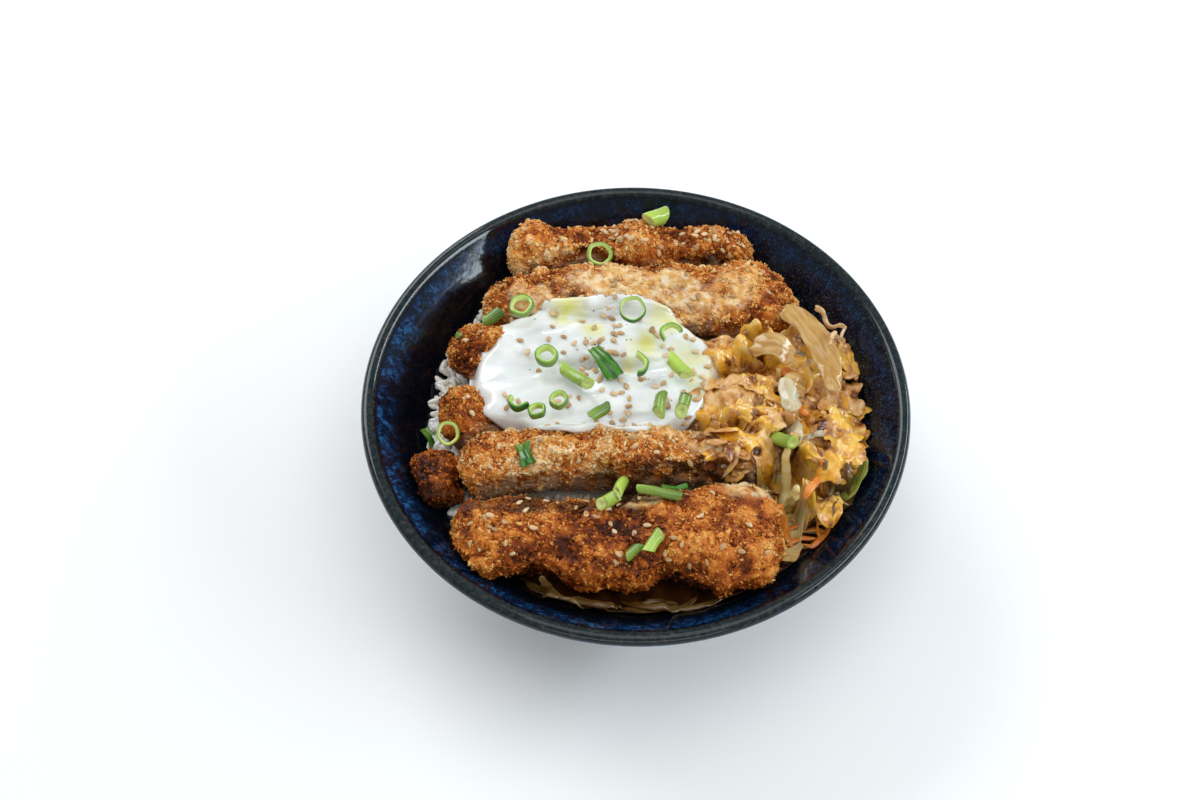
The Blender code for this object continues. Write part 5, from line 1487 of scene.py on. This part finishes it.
def sesame_finish():
    """Roasted brown to pale by each seed's own shade."""
    finish = new_finish("roasted_sesame", 0.38, {
        "Subsurface Weight": 0.15, "Subsurface Radius": (1.0, 0.5, 0.2),
        "Subsurface Scale": 0.8 * MM})
    colour = ramp_of(finish, layer_of(finish, "shade"), (
        (0.0, (0.34, 0.17, 0.06)), (0.5, (0.55, 0.34, 0.15)), (1.0, (0.72, 0.53, 0.30))))
    dress(finish, colour, None, ((noise_of(finish, 0.5 * MM, 2.0), 0.3, 0.1 * MM),))
    return finish


# Where seeds lie: surface, number of seeds, x and y limits
seeded = (
    ("white", 105, (-50, 34), (-22, 44)), ("white", 30, (10, 32), (-18, 20)),
    (0, 52, (-18, 44), (60, 84)), (1, 16, (-20, 58), (34, 60)), (2, 6, (-70, 40), (12, 36)),
    (3, 8, (-70, 48), (-14, 10)), (4, 22, (-62, 50), (-38, -16)), (5, 46, (-62, 48), (-78, -42)),
)
draw = np.random.default_rng(12)
seed_centres, seed_normals = [], []
for surface, count, x_limits, y_limits in seeded:
    if surface == "white":
        spots, leans = white_top[0], np.tile((0.0, 0.0, 1.0), (len(white_top[0]), 1))
    else:
        spots, leans = crust_tops[surface]
    inside = (spots[:, 0] > x_limits[0] * MM) & (spots[:, 0] < x_limits[1] * MM)
    inside &= (spots[:, 1] > y_limits[0] * MM) & (spots[:, 1] < y_limits[1] * MM)
    cover = height_under(spots[:, 0], spots[:, 1], ["egg_white"]) if surface != "white" else -1
    inside &= np.broadcast_to(cover, inside.shape) < 0
    chosen = draw.choice(np.flatnonzero(inside), count)
    seed_centres.append(spots[chosen])
    seed_normals.append(leans[chosen])
seed_centres, seed_normals = np.vstack(seed_centres), np.vstack(seed_normals)
total = len(seed_centres)
seed_sizes = np.array((3.1, 1.9, 1.0)) * MM * draw.uniform(0.85, 1.12, (total, 1))
seed_normals = seed_normals + draw.normal(0, 0.16, (total, 3))
points, faces = scattered(
    sesame_seed(), seed_centres + (0, 0, 0.45 * MM),
    frames_on(seed_normals, draw.uniform(*any_turn, total)), seed_sizes)
piece("sesame_seeds", points, faces, sesame_finish(), (), {
    "shade": np.repeat(draw.uniform(0.1, 1, total), len(points) // total)})


# Pepper
# Coarse black pepper is ground over the egg white. A few dozen small, sharp-edged
# specks lie loose on its wet top.

specks = 34
draw = np.random.default_rng(5)
chosen = draw.choice(np.flatnonzero(white_top[1] < 0.5), specks)
points, faces = scattered(
    crumb_shard(), white_top[0][chosen] + (0, 0, 0.1 * MM),
    frames_on(draw.normal(0, 1, (specks, 3)), draw.uniform(*any_turn, specks)),
    draw.uniform(0.35, 0.95, (specks, 3)) * MM)
piece("pepper", points, faces, new_finish("black_pepper", 0.6, {
    "Base Color": (0.03, 0.02, 0.014, 1.0)}))


# Table, light and camera
# The bowl stands on a plain pale table, under soft window light from the upper left.
# The camera looks down on it at 56 degrees, as the photo's did.

camera_height, camera_distance = math.radians(56), 0.70
target = np.array((-0.013628, -0.000767, 0.0634))
back = np.array((0, -math.cos(camera_height), math.sin(camera_height)))

floor_mesh = bpy.data.meshes.new("table_top")
floor_mesh.from_pydata(
    [(-3, -3, 0), (3, -3, 0), (3, 3, 0), (-3, 3, 0)], [], [(0, 1, 2, 3)])
floor_finish = new_finish("pale_table", 0.8)
dress(floor_finish, ramp_of(floor_finish, noise_of(floor_finish, 0.3, 2.0), (
    (0.3, (0.90, 0.90, 0.89)), (0.7, (0.92, 0.92, 0.91)))))
floor_mesh.materials.append(floor_finish)
table_top = bpy.data.objects.new("table_top", floor_mesh)
bpy.context.scene.collection.objects.link(table_top)

world = bpy.data.worlds.new("studio")
world.use_nodes = True
world.node_tree.nodes["Background"].inputs[0].default_value = (0.93, 0.96, 1.0, 1.0)
world.node_tree.nodes["Background"].inputs[1].default_value = 0.36
bpy.context.scene.world = world


def soft_light(name, place, aim, size, power, colour, roll=0.0):
    """An area light that faces a point, turned about its own axis by an angle."""
    lamp = bpy.data.lights.new(name, "AREA")
    lamp.shape = "RECTANGLE"
    lamp.size, lamp.size_y = size
    lamp.energy = power
    lamp.color = colour
    made = bpy.data.objects.new(name, lamp)
    made.location = place
    away = (made.location - type(made.location)(aim)).to_track_quat("Z", "Y")
    made.rotation_euler = (away.to_matrix() @ Matrix.Rotation(roll, 3, "Z")).to_euler()
    bpy.context.scene.collection.objects.link(made)
    return made


soft_light("window", (-0.62, 0.72, 0.75), (0, 0, 0.05), (0.9, 0.6), 9.5, (0.88, 0.94, 1.0))
soft_light("overhead", (0.15, -0.05, 1.15), (0, 0, 0.05), (0.9, 0.9), 4.2, (1.0, 0.98, 0.95))
soft_light("side", (0.94, 0.06, 0.60), (0, 0, 0.05), (1.35, 0.13), 8.5, (0.78, 0.91, 1.0), -0.35)
soft_light("front", (0.0, -1.1, 0.42), (0, 0, 0.05), (1.2, 0.4), 3, (1.0, 0.98, 0.95))

camera = bpy.data.cameras.new("camera")
camera.sensor_width = 36
camera.lens = 54.818
camera.clip_start = 0.01
camera_object = bpy.data.objects.new("camera", camera)
camera_object.location = target + camera_distance * back
camera_object.rotation_euler = (math.pi / 2 - camera_height, 0, 0)
bpy.context.scene.collection.objects.link(camera_object)
bpy.context.scene.camera = camera_object
bpy.context.scene.view_settings.view_transform = "Standard"
